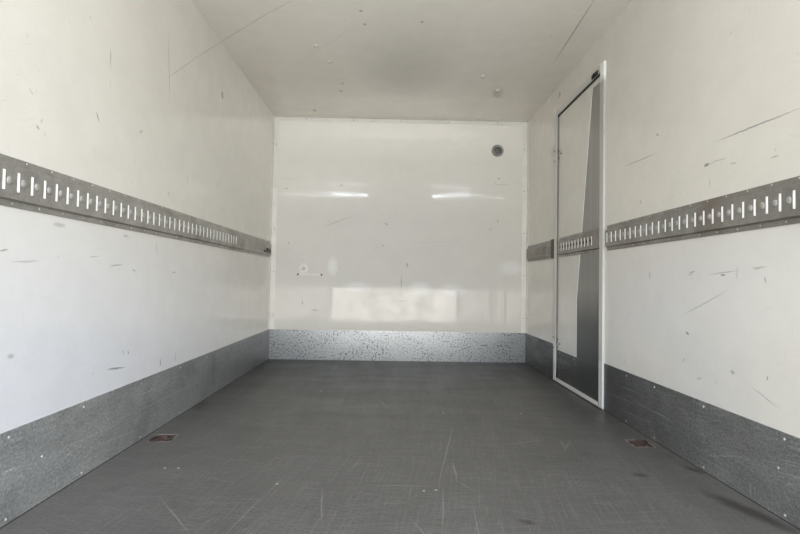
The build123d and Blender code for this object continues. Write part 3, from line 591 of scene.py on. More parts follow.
dark_screw = mottled("dark_screw", (0.05, 0.045, 0.04), (0.12, 0.10, 0.08), 200.0, 0.5, 0.5)
bar = bmesh.new()
put_block(bar, inside(BAR_ENDS[0], 0, BAR_HEIGHT - BAR_HALF),
          inside(BAR_ENDS[1], BAR_THICKNESS, BAR_HEIGHT + BAR_HALF), 0.001)
finished("front_wall_bar", bar, cap_plastic)
screws = bmesh.new()
for x in (BAR_ENDS[0] + BAR_SCREW_INSET, BAR_ENDS[1] - BAR_SCREW_INSET):
    put_dome(screws, inside(x, BAR_THICKNESS, BAR_HEIGHT), (0, -1, 0), BAR_SCREW_RADIUS, 0.003)
finished("front_wall_bar_screws", screws, dark_screw)

# Front vent
# A flanged grey plastic tube runs through the front wall, with a hood outside and a round wire
# guard in its mouth, pressed in from inside.
VENT_GREY = (0.33, 0.325, 0.30)
VENT_GREY_DULL = (0.22, 0.215, 0.20)
GUARD_RINGS = (0.008, 0.016, 0.024)
GUARD_WIRE = 0.0016
GUARD_DEPTH = 0.006
GUARD_SPOKE = 0.064

vent_plastic = mottled("vent_plastic", VENT_GREY, VENT_GREY_DULL, 40.0, 0.45, detail=4, band=(0.35, 0.7),
                       grain=(260.0, 0.0003, 0.5))
dress(vent_plastic, "front_vent")

vent_low, vent_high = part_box("front_vent")
vent_centre = Vector(((vent_low.x + vent_high.x) / 2, y_front + GUARD_DEPTH, 0))
vent_centre.z = (vent_low.z + vent_high.z) / 2
guard = bmesh.new()
for radius in GUARD_RINGS:
    wire = bmesh.ops.create_circle(guard, cap_ends=False, segments=6, radius=GUARD_WIRE,
                                   matrix=Matrix.Translation(vent_centre + Vector((radius, 0, 0))))
    edges = list({edge for vert in wire["verts"] for edge in vert.link_edges})
    bmesh.ops.spin(guard, geom=wire["verts"] + edges, cent=vent_centre, axis=(0, 1, 0), angle=2 * math.pi,
                   steps=24, use_merge=True, use_duplicate=False)
for turn in (0, 45, 90, 135):
    bmesh.ops.create_cone(guard, cap_ends=True, segments=6, radius1=GUARD_WIRE, radius2=GUARD_WIRE,
                          depth=GUARD_SPOKE, matrix=Matrix.Translation(vent_centre)
                          @ Matrix.Rotation(math.radians(turn), 4, "Y"))
finished("vent_guard", guard, vent_plastic)

# Outer profiles
# Satin aluminium extrusions close the panels' edges outside. They are bonded on and held by a row
# of blind rivets along each leg.
ALUMINIUM = (0.68, 0.69, 0.69)
ALUMINIUM_DULL = (0.50, 0.505, 0.50)
RIVET_PITCH = 0.15
RIVET_RADIUS = 0.0042
RIVET_RISE = 0.0022
TOP_LEG_RISE = 0.018
BOTTOM_LEG_RISE = 0.020
LEG_INSET = 0.014
CORNER_INSET = 0.056
NOSE_RIVETS = 13


def satin_aluminium(name, bright, dull, roughness=0.34, metallic=0.75):
    """Extruded metal with faint lines along it and weathering in clouds."""
    material, tree, shader, place = new_finish(name, roughness, metallic)
    weathered = spread(tree, clouds(tree, place, 4.0, 6, 0.65), 0.36, 0.7)
    tree.links.new(tint(tree, weathered, bright, dull), shader.inputs["Base Color"])
    dullness = spread(tree, weathered, 0, 1, roughness - 0.06, roughness + 0.16)
    tree.links.new(dullness, shader.inputs["Roughness"])
    bumped(tree, shader, clouds(tree, place, 150.0, 2), 0.0002, 0.4)
    return material


outer_aluminium = satin_aluminium("outer_aluminium", ALUMINIUM, ALUMINIUM_DULL)
dress(outer_aluminium, "bottom_rail_left", "bottom_rail_right", "front_bottom_rail", "roof_rail_left",
      "roof_rail_right", "front_top_rail", "front_corner_caps")

bottom_low, bottom_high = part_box("bottom_rail_right")
roof_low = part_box("roof_rail_right")[0]
door_low, door_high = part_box("side_door_posts")
cap_low, cap_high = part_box("front_corner_caps")
y_nose = cap_high.y
x_cap = bottom_high.x
rivets = bmesh.new()


def put_rivet(place, way):
    """Blind rivet in an outer profile."""
    put_dome(rivets, place, way, RIVET_RADIUS, RIVET_RISE, 8, 5)


for side in (-1, 1):
    for number in range(int((y_front - bottom_low.y) / RIVET_PITCH)):
        y = bottom_low.y + (number + 0.5) * RIVET_PITCH
        put_rivet((side * x_cap, y, roof_low.z + TOP_LEG_RISE), (side, 0, 0))
        put_rivet((side * x_cap, y, bottom_low.z + BOTTOM_LEG_RISE), (side, 0, 0))
        if side < 0 or not door_low.y - 0.02 < y < door_high.y + 0.02:
            put_rivet((side * x_cap, y, bottom_high.z - LEG_INSET), (side, 0, 0))
    for number in range(int((cap_high.z - cap_low.z) / RIVET_PITCH)):
        z = cap_low.z + (number + 0.5) * RIVET_PITCH
        put_rivet((side * x_cap, cap_low.y + LEG_INSET, z), (side, 0, 0))
        put_rivet((side * (x_cap - CORNER_INSET), y_nose, z), (0, 1, 0))
for number in range(NOSE_RIVETS):
    x = (number - NOSE_RIVETS // 2) * RIVET_PITCH
    put_rivet((x, y_nose, roof_low.z + TOP_LEG_RISE), (0, 1, 0))
    put_rivet((x, y_nose, bottom_high.z - LEG_INSET), (0, 1, 0))
finished("outer_rivets", rivets, outer_aluminium)

# Inner corner trim
# White-painted angle strips cover the joints round the front wall. Small pan-head screws hold
# them at a hand's length or more apart.
TRIM_WHITE = (0.89, 0.86, 0.785)
TRIM_DULL = (0.79, 0.76, 0.685)
TRIM_SCREWS_TOP = (-0.785, -0.393, 0.0, 0.393, 0.800)
TRIM_SCREW_PITCH = 0.35
TRIM_SCREW_COUNT = 5
TRIM_SCREW_DROP = 0.0155
TRIM_SCREW_INSET = 0.024
TRIM_SCREW_BACK = 0.030
TRIM_SCREW_FIRST = 0.12
TRIM_SCREW_SIZE = (0.0035, 0.002)
TRIM_SHEET = 0.002

trim_paint = mottled("trim_paint", TRIM_WHITE, TRIM_DULL, 9.0, 0.3, detail=5, band=(0.4, 0.75),
                     grain=(60.0, 0.0003, 0.4))
dress(trim_paint, "front_corner_trim")

trim_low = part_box("front_corner_trim")[0]
screws = bmesh.new()
for x in TRIM_SCREWS_TOP:
    place = inside(x, TRIM_SHEET, z_ceiling - z_deck - TRIM_SCREW_DROP)
    put_dome(screws, place, (0, -1, 0), *TRIM_SCREW_SIZE)
for side in (-1, 1):
    for number in range(TRIM_SCREW_COUNT):
        up = trim_low.z - z_deck + TRIM_SCREW_FIRST + number * TRIM_SCREW_PITCH
        on_front = inside(side * (x_wall - TRIM_SCREW_INSET), TRIM_SHEET, up)
        put_dome(screws, on_front, (0, -1, 0), *TRIM_SCREW_SIZE)
        on_side = inside(side * (x_wall - TRIM_SHEET), TRIM_SCREW_BACK, up)
        put_dome(screws, on_side, (-side, 0, 0), *TRIM_SCREW_SIZE)
finished("trim_screws", screws, dark_screw)

# Kick plates
# Galvanised sheet protects the foot of the walls. It is riveted in columns of two, scratched
# lengthways by loads and dull, but still bright and speckled behind the load at the front.
KICK = (0.290, 0.300, 0.305)
KICK_LIGHT = (0.440, 0.450, 0.450)
KICK_DARK = (0.135, 0.145, 0.150)
KICK_SCRATCH = (0.68, 0.70, 0.70)
KICK_BROWN = (0.20, 0.18, 0.145)
FRONT_ZINC = (0.56, 0.60, 0.63)
FRONT_SPECK = (0.11, 0.11, 0.12)
KICK_COLUMNS_LEFT = (0.34, 0.70, 1.06, 1.42, 1.76, 2.136, 2.52, 2.845, 3.20, 3.55, 3.90)
KICK_COLUMNS_RIGHT = (0.32, 0.60, 1.813, 2.069, 2.407, 2.779, 3.13, 3.48, 3.83)
KICK_ROWS = (0.0145, 0.225)
KICK_MIDDLE_LEFT = (2.713, 0.132)
KICK_MIDDLE_RIGHT = (2.756, 0.137)
KICK_COLUMNS_FRONT = (-0.80, -0.40, 0.0, 0.40, 0.80)
KICK_DOOR_RIVETS = ((0.86, 0.198), (1.12, 0.198))
KICK_SHEET = 0.002
KICK_RIVET_RADIUS = 0.0042
KICK_RIVET_RISE = 0.002
# Painted shade: how a plate's tone runs from one distance behind the front wall to another, and the tone at
# each
KICK_FALLOFF = {"left_kick": (0.4, 3.2, 0.5, 1.25), "right_kick": (1.5, 3.0, 0.26, 1.3)}
# Single long scratches: behind the front wall, above the deck, half length, half width, turn
KICK_LINES = {"left_kick": ((1.885, 0.119, 0.330, 0.0022, 0.01), (2.843, 0.140, 0.030, 0.0024, 0.03),
                            (2.441, 0.118, 0.165, 0.0020, 0.03), (2.30, 0.062, 0.110, 0.0020, 0.10),
                            (2.62, 0.085, 0.060, 0.0018, -0.30), (2.05, 0.180, 0.140, 0.0018, -0.02)),
              "right_kick": ((1.751, 0.107, 0.166, 0.0030, 0.04), (1.989, 0.124, 0.140, 0.0026, -0.03),
                             (2.127, 0.122, 0.062, 0.0034, -0.03), (1.900, 0.060, 0.130, 0.0022, 0.05),
                             (1.820, 0.165, 0.120, 0.0020, 0.02), (2.520, 0.090, 0.090, 0.0020, 0.30))}


def kick_sheet(name, tone):
    """Scratched and rubbed zinc sheet, painted darker towards the front as shade."""
    material, tree, shader, place = new_finish(name, 0.4, 0.55)
    flat = lying(tree, place, "side")
    crystals = add(tree, "TexVoronoi", {"Vector": drawn_out(tree, flat, (110, 150, 1)),
                                        "Scale": 1.0}).outputs["Color"]
    crystals = add(tree, "SeparateColor", {0: crystals}).outputs[0]
    rubbed = spread(tree, clouds(tree, drawn_out(tree, flat, (2.2, 9, 1)), 1.5, 6, 0.7), 0.36, 0.68)
    mix = maths(tree, "ADD", maths(tree, "MULTIPLY", crystals, 0.45), maths(tree, "MULTIPLY", rubbed, 0.55))
    colour = tint(tree, mix, toned(KICK, tone), toned(KICK_LIGHT, tone))
    stained = spread(tree, clouds(tree, flat, 4.0, 5, 0.6), 0.52, 0.72)
    colour = tint(tree, stained, colour, KICK_DARK, 0.6)
    brown = spread(tree, clouds(tree, drawn_out(tree, flat, (4, 9, 1)), 1.0, 4, 0.6), 0.60, 0.75)
    colour = tint(tree, brown, colour, KICK_BROWN, 0.4)
    scratches = fine_scratches(tree, flat, (0.0, 0.12, -0.15, 1.45, 0.9), 0.11, 0.0036, 0.600)
    long_ones = fine_scratches(tree, flat, (0.03, 0.02), 0.55, 0.0028, 0.635)
    scratches = maths(tree, "MAXIMUM", maths(tree, "MULTIPLY", scratches, 0.6), long_ones)
    dots = spread(tree, clouds(tree, flat, 95.0, 2, 0.4), 0.69, 0.76)
    colour = tint(tree, maths(tree, "MAXIMUM", scratches, dots), colour, KICK_SCRATCH, 0.75)
    # Painted shade: the tone falls off towards the front wall, with a fine grain on top
    falloff_and_grain = spread(tree, parts_of(tree, flat)[0], *KICK_FALLOFF.get(name, (0.4, 3.0, 0.5, 1.0)))
    grain = clouds(tree, drawn_out(tree, flat, (110, 140, 1)), 1.0, 3, 0.7)
    falloff_and_grain = maths(tree, "MULTIPLY", falloff_and_grain, spread(tree, grain, 0.3, 0.7, 0.70, 1.30))
    bent = shaken(tree, flat, 0.012, 7.0)
    for back, up, half_length, half_width, turn in KICK_LINES.get(name, ()):
        line = spot(tree, bent, (back, up), (half_length, half_width), turn, 0.5)
        colour = tint(tree, line, colour, KICK_SCRATCH, 0.55)
    falloff_shaded = add(tree, "VectorMath", {0: colour, 3: falloff_and_grain}, operation="SCALE").outputs[0]
    tree.links.new(falloff_shaded, shader.inputs["Base Color"])
    tree.links.new(spread(tree, rubbed, 0, 1, 0.30, 0.50), shader.inputs["Roughness"])
    bumped(tree, shader, clouds(tree, drawn_out(tree, flat, (3, 30, 1)), 3.0, 3), 0.0005, 0.4)
    return material


# The three tones are lit and shaded copies of one zinc sheet: painted light on the left wall's plate,
# painted shade on the right, and darkest by the side door, painted shade and reflection of tyres that stood
# there
dress(kick_sheet("left_kick", 1.26), "kick_plate_left")
dress(kick_sheet("right_kick", 0.86), "kick_plate_right_rear")
dress(kick_sheet("door_kick", 0.36), "kick_plate_right_front", "side_door_kick_plate")

front_kick, tree, shader, place = new_finish("front_kick", 0.28, 0.75)
flat = lying(tree, place, "front")
specks = spread(tree, clouds(tree, flat, 70.0, 4, 0.7), 0.50, 0.60)
patches = spread(tree, clouds(tree, flat, 6.0, 3), 0.4, 0.6, 0.35, 0.95)
tree.links.new(tint(tree, specks, FRONT_ZINC, FRONT_SPECK, patches), shader.inputs["Base Color"])
bumped(tree, shader, clouds(tree, flat, 18.0, 2), 0.0008, 0.5)
dress(front_kick, "kick_plate_front")

bright_rivet = mottled("bright_rivet", (0.86, 0.86, 0.84), (0.66, 0.66, 0.63), 150.0, 0.3, 0.35)
x_kick = x_wall - KICK_SHEET


def put_kick_rivet(shape, place, way):
    """Domed rivet in a kick plate."""
    put_dome(shape, place, way, KICK_RIVET_RADIUS, KICK_RIVET_RISE, 10, 5)


rivets = bmesh.new()
for side, columns, middle in ((-1, KICK_COLUMNS_LEFT, KICK_MIDDLE_LEFT),
                              (1, KICK_COLUMNS_RIGHT, KICK_MIDDLE_RIGHT)):
    for back in columns:
        for up in KICK_ROWS:
            put_kick_rivet(rivets, inside(side * x_kick, back, up), (-side, 0, 0))
    put_kick_rivet(rivets, inside(side * x_kick, *middle), (-side, 0, 0))
for x in KICK_COLUMNS_FRONT:
    for up in KICK_ROWS:
        put_kick_rivet(rivets, inside(x, KICK_SHEET, up), (0, -1, 0))
finished("kick_plate_rivets", rivets, bright_rivet)

door_rivets = bmesh.new()
for back, up in KICK_DOOR_RIVETS:
    put_kick_rivet(door_rivets, inside(x_kick, back, up), (-1, 0, 0))
finished("side_door_kick_rivets", door_rivets, bright_rivet, body="side_door")

# Joint sealant
# A thin black bead of sealant fills the joint between the kick plates and the deck. A thicker black
# bead lies along the foot of the side door's threshold.
BEAD_RADIUS = 0.0022
THRESHOLD_BEAD_RADIUS = 0.008

sealant = mottled("sealant", (0.020, 0.020, 0.020), (0.070, 0.067, 0.062), 30.0, 0.6)
beads = bmesh.new()


def put_bead(low, high, place, radius):
    """Straight bead of sealant through a place, as long as a node."""
    middle = Vector((place[0], (low.y + high.y) / 2, z_deck + place[1]))
    bmesh.ops.create_cone(beads, cap_ends=True, segments=12, radius1=radius, radius2=radius,
                          depth=high.y - low.y, matrix=facing(middle, (0, 1, 0)))


for node, side in (("kick_plate_left", -1), ("kick_plate_right_rear", 1), ("kick_plate_right_front", 1)):
    put_bead(*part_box(node), (side * (x_kick + 0.0004), 0.0004), BEAD_RADIUS)
threshold_low, threshold_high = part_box("side_door_threshold")
put_bead(threshold_low, threshold_high, (threshold_low.x, 0.001), THRESHOLD_BEAD_RADIUS)
finished("sealant_beads", beads, sealant)

# Lashing rails
# Rolled galvanised rails with upright slots run along both side walls at hip height. A glossy white
# strip fills the slots from behind, except right at the front, and glows faintly as painted light.
# Plastic plugs sit between the slots, dark ones on the side door, and bright rivets hold both
# flanges to the wall.
RAIL = (0.345, 0.332, 0.302)
RAIL_DULL = (0.232, 0.222, 0.202)
RAIL_GRIME = (0.205, 0.170, 0.140)
BACKING_WHITE = (0.93, 0.93, 0.92)
RAIL_FACE_DEPTH = 0.012
RAIL_SHEET = 0.0025
RAIL_FLANGES = (0.834, 0.948)
RAIL_RIVET_PITCH = 0.1016
RAIL_RIVET_RADIUS = 0.0027
RAIL_RIVET_RISE = 0.0016
RAIL_END_CLEAR = 0.012
RAIL_RIVET_START = {"left": (0.0200, 0.0746), "right": (0.0470, 0.0940)}
SLOT_PITCH = 0.0508
SLOT_START = {"left": 0.0134, "right": 0.0361}
PLUG_AHEAD = 0.0195
PLUG_RADIUS = 0.0112
PLUG_RISE = 0.0026
PLUG_CLEAR = (0.030, 0.065)
PLUG_WHITE = (0.40, 0.385, 0.350)
SLOT_MIDDLE = 0.8905
BACKING_HALF = 0.036
BACKING_GLOW = 0.30
BACKING_SETBACK = 0.030
LEFT_BACKING_START = 0.95
SLOT_HALF_WIDTH = 0.0048
SLOT_HALF_HEIGHT = 0.0252
SLOT_CLEAR = (0.010, 0.006)
FILLING_SUNK = 0.0004
STRIP_GAP = 0.0004
STRIP_INSET = 0.004


def rail_zinc(name, tone, gain):
    """Zinc of a rail, cleaner and paler towards the front."""
    material = galvanised(name, toned(RAIL, tone), toned(RAIL_DULL, tone), RAIL_GRIME, 0.40, 0.45, 0.8,
                          110.0)
    tree = material.node_tree
    colour = tree.nodes["Principled BSDF"].inputs["Base Color"]
    dirty = colour.links[0].from_socket
    back_y = parts_of(tree, lying(tree, add(tree, "TexCoord").outputs["Object"], "side"))[0]
    ahead = spread(tree, back_y, 2.9, 1.9, 1.0, gain)
    tree.links.new(add(tree, "VectorMath", {0: dirty, 3: ahead}, operation="SCALE").outputs[0], colour)
    return material


# The left rail's zinc is toned lighter than the right's: lit and shaded copies of one zinc, painted light on
# the left rail
dress(rail_zinc("left_rail_zinc", 1.28, 1.15), "lashing_rail_left")
dress(rail_zinc("right_rail_zinc", 0.98, 1.14), "lashing_rail_right_rear", "lashing_rail_right_front",
      "side_door_rail")

glowing_backing = mottled("glowing_backing", BACKING_WHITE, toned(BACKING_WHITE, 0.96), 25.0, 0.35)
# The strip's faint glow is painted light, as if daylight showed through the slots
shader = glowing_backing.node_tree.nodes["Principled BSDF"]
shader.inputs["Emission Color"].default_value = (*BACKING_WHITE, 1)
shader.inputs["Emission Strength"].default_value = BACKING_GLOW
plug_plastic = mottled("plug_plastic", PLUG_WHITE, toned(PLUG_WHITE, 0.9), 60.0, 0.3)
x_rail_face = x_wall - RAIL_FACE_DEPTH
x_flange = x_wall - RAIL_SHEET


def fill_slots(node, side, body, hand, start, plug_finish):
    """White strip that fills a rail's slots, glowing as painted light, and the plugs between them."""
    low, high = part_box(node)
    near, far = max(y_front - high.y + STRIP_INSET, start), y_front - low.y
    strip = bmesh.new()
    x_strip = x_rail_face + RAIL_SHEET + STRIP_GAP
    put_block(strip, inside(side * (x_wall - 0.0002), near, SLOT_MIDDLE - BACKING_HALF),
              inside(side * x_strip, far - BACKING_SETBACK, SLOT_MIDDLE + BACKING_HALF))
    plugs = bmesh.new()
    count = int((far - near) / SLOT_PITCH) + 2
    first = math.floor(near / SLOT_PITCH)
    for number in range(first, first + count):
        back = SLOT_START[hand] + number * SLOT_PITCH
        if near + SLOT_CLEAR[0] < back < far - BACKING_SETBACK - SLOT_CLEAR[1]:
            put_block(strip, inside(side * (x_strip + STRIP_GAP), back - SLOT_HALF_WIDTH,
                                    SLOT_MIDDLE - SLOT_HALF_HEIGHT),
                      inside(side * (x_rail_face + FILLING_SUNK), back + SLOT_HALF_WIDTH,
                             SLOT_MIDDLE + SLOT_HALF_HEIGHT))
        if near + PLUG_CLEAR[0] < back - PLUG_AHEAD < far - PLUG_CLEAR[1]:
            put_dome(plugs, inside(side * x_rail_face, back - PLUG_AHEAD, SLOT_MIDDLE), (-side, 0, 0),
                     PLUG_RADIUS, PLUG_RISE, 10, 4)
    finished(node + "_backing", strip, glowing_backing, body=body)
    finished(node + "_plugs", plugs, plug_finish, body=body)


def rivet_rail(node, side, body, hand):
    """Rivets along both flanges of a rail."""
    low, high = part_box(node)
    near, far = y_front - high.y, y_front - low.y
    heads = bmesh.new()
    for up, start in zip(RAIL_FLANGES, RAIL_RIVET_START[hand]):
        number = math.ceil((near + RAIL_END_CLEAR - start) / RAIL_RIVET_PITCH)
        back = start + number * RAIL_RIVET_PITCH
        while back < far - RAIL_END_CLEAR:
            put_dome(heads, inside(side * x_flange, back, up), (-side, 0, 0), RAIL_RIVET_RADIUS,
                     RAIL_RIVET_RISE, 10, 5)
            back += RAIL_RIVET_PITCH
    finished(node + "_rivets", heads, bright_rivet, body=body)


fill_slots("lashing_rail_left", -1, "box_body", "left", LEFT_BACKING_START, plug_plastic)
fill_slots("lashing_rail_right_rear", 1, "box_body", "right", 0.0, plug_plastic)
fill_slots("side_door_rail", 1, "side_door", "right", 0.0, dark_screw)
rivet_rail("lashing_rail_left", -1, "box_body", "left")
rivet_rail("lashing_rail_right_rear", 1, "box_body", "right")
rivet_rail("lashing_rail_right_front", 1, "box_body", "right")
rivet_rail("side_door_rail", 1, "side_door", "right")

# Rail ends
# A folded dark steel stop closes the end of the rail by the side door's front post, and a dark
# steel strap end is still hooked into the front end of the left-hand rail.
STOP_LENGTH = 0.058
# The strap end's three parts: from and to behind the front wall, from and to above the deck, and
# how far each stands out
STRAP_END = ((0.105, 0.290, 0.860, 0.872, 0.010), (0.135, 0.205, 0.866, 0.893, 0.012),
             (0.080, 0.112, 0.862, 0.888, 0.008))
STRAP_ROUNDING = 0.003

rail_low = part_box("lashing_rail_left")[0].z - z_deck
rail_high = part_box("lashing_rail_left")[1].z - z_deck
stops = bmesh.new()
front_rail_end = y_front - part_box("lashing_rail_right_front")[0].y
put_block(stops, inside(x_wall, front_rail_end - STOP_LENGTH, rail_low - 0.001),
          inside(x_rail_face - 0.0015, front_rail_end + 0.001, rail_high + 0.001), 0.001)
for near, far, low_up, high_up, stand_out in STRAP_END:
    put_block(stops, inside(-x_rail_face - 0.002, near, low_up),
              inside(-x_rail_face + stand_out, far, high_up), STRAP_ROUNDING)
finished("rail_ends", stops, dark_screw)

# Side door frame
# Posts, header and threshold are pale aluminium extrusions that clip over the wall's edge. The
# rubber seal behind them is black along the header and dusty down the posts.
FRAME_METAL = (0.69, 0.68, 0.635)
FRAME_METAL_DULL = (0.68, 0.67, 0.62)
FRAME_SHADED = (0.50, 0.49, 0.46)
FRAME_HIGHLIGHT = (0.98, 0.97, 0.93)
FRAME_BARE = (0.82, 0.84, 0.84)
THRESHOLD_METAL = (0.95, 0.95, 0.94)
THRESHOLD_METAL_DULL = (0.86, 0.86, 0.84)
FRAME_BARE_TOP = 0.243
RUBBER = (0.014, 0.014, 0.014)
RUBBER_DUSTY = (0.040, 0.039, 0.037)
SEAL_DUST = (0.22, 0.208, 0.182)
SEAL_FOOT = 0.045
POST_FACE = 0.044

frame_aluminium = satin_aluminium("frame_aluminium", FRAME_METAL, FRAME_METAL_DULL, 0.34, 0.1)
dress(frame_aluminium, "side_door_header")
# The threshold's aluminium is toned much lighter than the header's: painted light on its upward face
threshold_aluminium = satin_aluminium("threshold_aluminium", THRESHOLD_METAL, THRESHOLD_METAL_DULL,
                                      0.28, 0.1)
dress(threshold_aluminium, "side_door_threshold")
post_aluminium, tree, shader, place = new_finish("post_aluminium", 0.34, 0.1)
back_y, up_z, _ = parts_of(tree, lying(tree, place, "side"))
# The rear post's upper part is painted in shade, and a band near its top is a painted highlight
shaded_upper = maths(tree, "MULTIPLY", spread(tree, up_z, 0.6, 1.5), spread(tree, back_y, 1.0, 1.2))
cloudy = spread(tree, clouds(tree, place, 6.0, 4), 0.36, 0.7)
colour = tint(tree, shaded_upper, tint(tree, cloudy, FRAME_METAL, FRAME_METAL_DULL), FRAME_SHADED)
colour = tint(tree, spread(tree, up_z, FRAME_BARE_TOP + 0.02, FRAME_BARE_TOP - 0.02), colour, FRAME_BARE)
painted_highlight = maths(tree, "MULTIPLY", spread(tree, up_z, 1.72, 1.76), spread(tree, back_y, 1.0, 1.2))
colour = tint(tree, painted_highlight, colour, FRAME_HIGHLIGHT)
tree.links.new(colour, shader.inputs["Base Color"])
bumped(tree, shader, clouds(tree, place, 150.0, 2), 0.0002, 0.4)
dress(post_aluminium, "side_door_posts")
rubber = mottled("rubber", RUBBER, RUBBER_DUSTY, 16.0, 0.55, detail=4, band=(0.4, 0.75),
                 grain=(300.0, 0.0003, 0.5))
dress(rubber, "side_door_catch", "rear_door_left_seal", "rear_door_right_seal", "rear_buffers")

post_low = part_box("side_door_posts")[0]
door_far = y_front - post_low.y
header_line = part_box("side_door_header")[0].z
seal_rubber, tree, shader, place = new_finish("seal_rubber", 0.6)
_, y, z = parts_of(tree, place)
dusty = maths(tree, "MULTIPLY", maths(tree, "LESS_THAN", z, header_line - 0.014),
              spread(tree, z, z_deck + SEAL_FOOT, z_deck + SEAL_FOOT + 0.1))
dusty = maths(tree, "MULTIPLY", dusty, maths(tree, "GREATER_THAN", y, y_front - 1.2))
dusty = maths(tree, "MULTIPLY", dusty, spread(tree, clouds(tree, place, 8.0, 3), 0.3, 0.7, 0.8, 1.0))
tree.links.new(tint(tree, dusty, RUBBER, SEAL_DUST), shader.inputs["Base Color"])
dress(seal_rubber, "side_door_seal")

# Side door leaf
# The leaf is a piece of the same sandwich panel with aluminium edging outside. A tapered sheet of
# smooth grey metal covers the lock on its inner face, above and below the lashing rail.
COVER_WALL_REFLECTION = (0.325, 0.318, 0.288)
COVER_METAL = (0.262, 0.260, 0.242)
COVER_DECK_REFLECTION = (0.060, 0.069, 0.068)
COVER_THICKNESS = 0.0016
COVER_HIGHLIGHT_WIDTH = 0.005
COVER_CLEAR = 0.011
# The cover's front edge from the top down: behind the front wall, above the deck
COVER_FRONT = ((1.387, 1.745), (1.235, 0.938), (1.161, 0.555), (1.163, 0.028))
EDGING_WIDTH = 0.026
EDGING_THICKNESS = 0.0015
EDGING_ROUNDING = 0.0005

dress(gel_coat("gel_coat_door", "side", between_walls, tone=0.94), "side_door_panel")

cover_metal, tree, shader, place = new_finish("cover_metal", 0.3, 0.35)
flat = lying(tree, place, "side")
streaks = spread(tree, clouds(tree, drawn_out(tree, flat, (26, 1.2, 1)), 1.0, 3), 0.3, 0.7, 0.9, 1.1)
up_z = parts_of(tree, flat)[1]
# The sheet is painted lighter at the top and darker at the bottom: painted reflection of the pale walls
# above and the dark deck below
colour = tint(tree, spread(tree, up_z, 0.80, 1.0), COVER_METAL, COVER_WALL_REFLECTION)
colour = tint(tree, spread(tree, up_z, 0.63, 0.43), colour, COVER_DECK_REFLECTION)
scaled = add(tree, "VectorMath", {0: colour, 3: streaks}, operation="SCALE").outputs[0]
tree.links.new(scaled, shader.inputs["Base Color"])
bumped(tree, shader, clouds(tree, drawn_out(tree, flat, (14, 1.5, 1)), 1.0, 2), 0.0005, 0.4)


def cover_front_at(up):
    """How far behind the front wall the cover's front edge lies at a height."""
    for (back_a, up_a), (back_b, up_b) in zip(COVER_FRONT, COVER_FRONT[1:]):
        if up_b <= up <= up_a:
            return back_b + (back_a - back_b) * (up - up_b) / (up_a - up_b)
    return COVER_FRONT[0][0]


def put_sheet(shape, corners, thickness, way):
    """Flat sheet with the given corners, given its thickness one way."""
    verts = [shape.verts.new(corner) for corner in corners]
    face = shape.faces.new(verts)
    face.normal_update()
    if face.normal.dot(Vector(way)) > 0:
        face.normal_flip()
    bmesh.ops.solidify(shape, geom=[face], thickness=thickness)


cover_rear = door_far - POST_FACE - COVER_CLEAR
cover_top = COVER_FRONT[0][1]
cover_bend = COVER_FRONT[2][1]
cover_foot_back = COVER_FRONT[3][0]
cover_foot = COVER_FRONT[3][1] + 0.004
kick_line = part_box("side_door_kick_plate")[1].z - z_deck


def put_cover(outline, face, thickness):
    """Sheet on the door's inner face, its corners given behind the front wall and above the deck."""
    put_sheet(covers, [inside(face, back, up) for back, up in outline], thickness, (-1, 0, 0))


covers = bmesh.new()
put_cover([(cover_front_at(rail_high), rail_high), (cover_rear, rail_high), (cover_rear, cover_top),
           (cover_front_at(cover_top), cover_top)], x_wall, COVER_THICKNESS)
put_cover([(cover_front_at(cover_bend), cover_bend), (cover_front_at(kick_line), kick_line),
           (cover_rear, kick_line), (cover_rear, rail_low), (cover_front_at(rail_low), rail_low)],
          x_wall, COVER_THICKNESS)
put_cover([(cover_front_at(kick_line), kick_line), (cover_foot_back, cover_foot), (cover_rear, cover_foot),
           (cover_rear, kick_line)], x_kick, COVER_THICKNESS / 2)
finished("side_door_lock_cover", covers, cover_metal, body="side_door")
# A thin strip along the cover's front edge in the glowing white: a painted highlight on the edge
bead = bmesh.new()
for low_up, high_up in ((rail_high, cover_top), (cover_bend, rail_low), (kick_line, cover_bend)):
    low_back, high_back = cover_front_at(low_up), cover_front_at(high_up)
    put_sheet(bead, [inside(x_wall, low_back - COVER_HIGHLIGHT_WIDTH, low_up), inside(x_wall, low_back, low_up),
                     inside(x_wall, high_back, high_up), inside(x_wall, high_back - COVER_HIGHLIGHT_WIDTH, high_up)],
              COVER_THICKNESS, (-1, 0, 0))
finished("side_door_cover_highlight", bead, glowing_backing, body="side_door")


def edge_leaf(body, side):
    """Edging round the outer face of a door's panel."""
    low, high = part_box(body + "_panel")
    outer = high.x if side > 0 else low.x
    edging = bmesh.new()
    for a, b in (((low.y, low.z), (low.y + EDGING_WIDTH, high.z)),
                 ((high.y - EDGING_WIDTH, low.z), (high.y, high.z)),
                 ((low.y + EDGING_WIDTH, low.z), (high.y - EDGING_WIDTH, low.z + EDGING_WIDTH)),
                 ((low.y + EDGING_WIDTH, high.z - EDGING_WIDTH), (high.y - EDGING_WIDTH, high.z))):
        put_block(edging, (outer - side * 0.001, *a), (outer + side * EDGING_THICKNESS, *b),
                  EDGING_ROUNDING)
    finished(body + "_edging", edging, outer_aluminium, body=body)


edge_leaf("side_door", 1)

# Side door hinges and latch
# Zinc-plated strap hinges are bolted through the leaf and the front post, and the bolts' domed
# ends show inside. A black paddle latch sits in the leaf's outer face.
HINGE_MIDDLES = (1.513, 0.254)
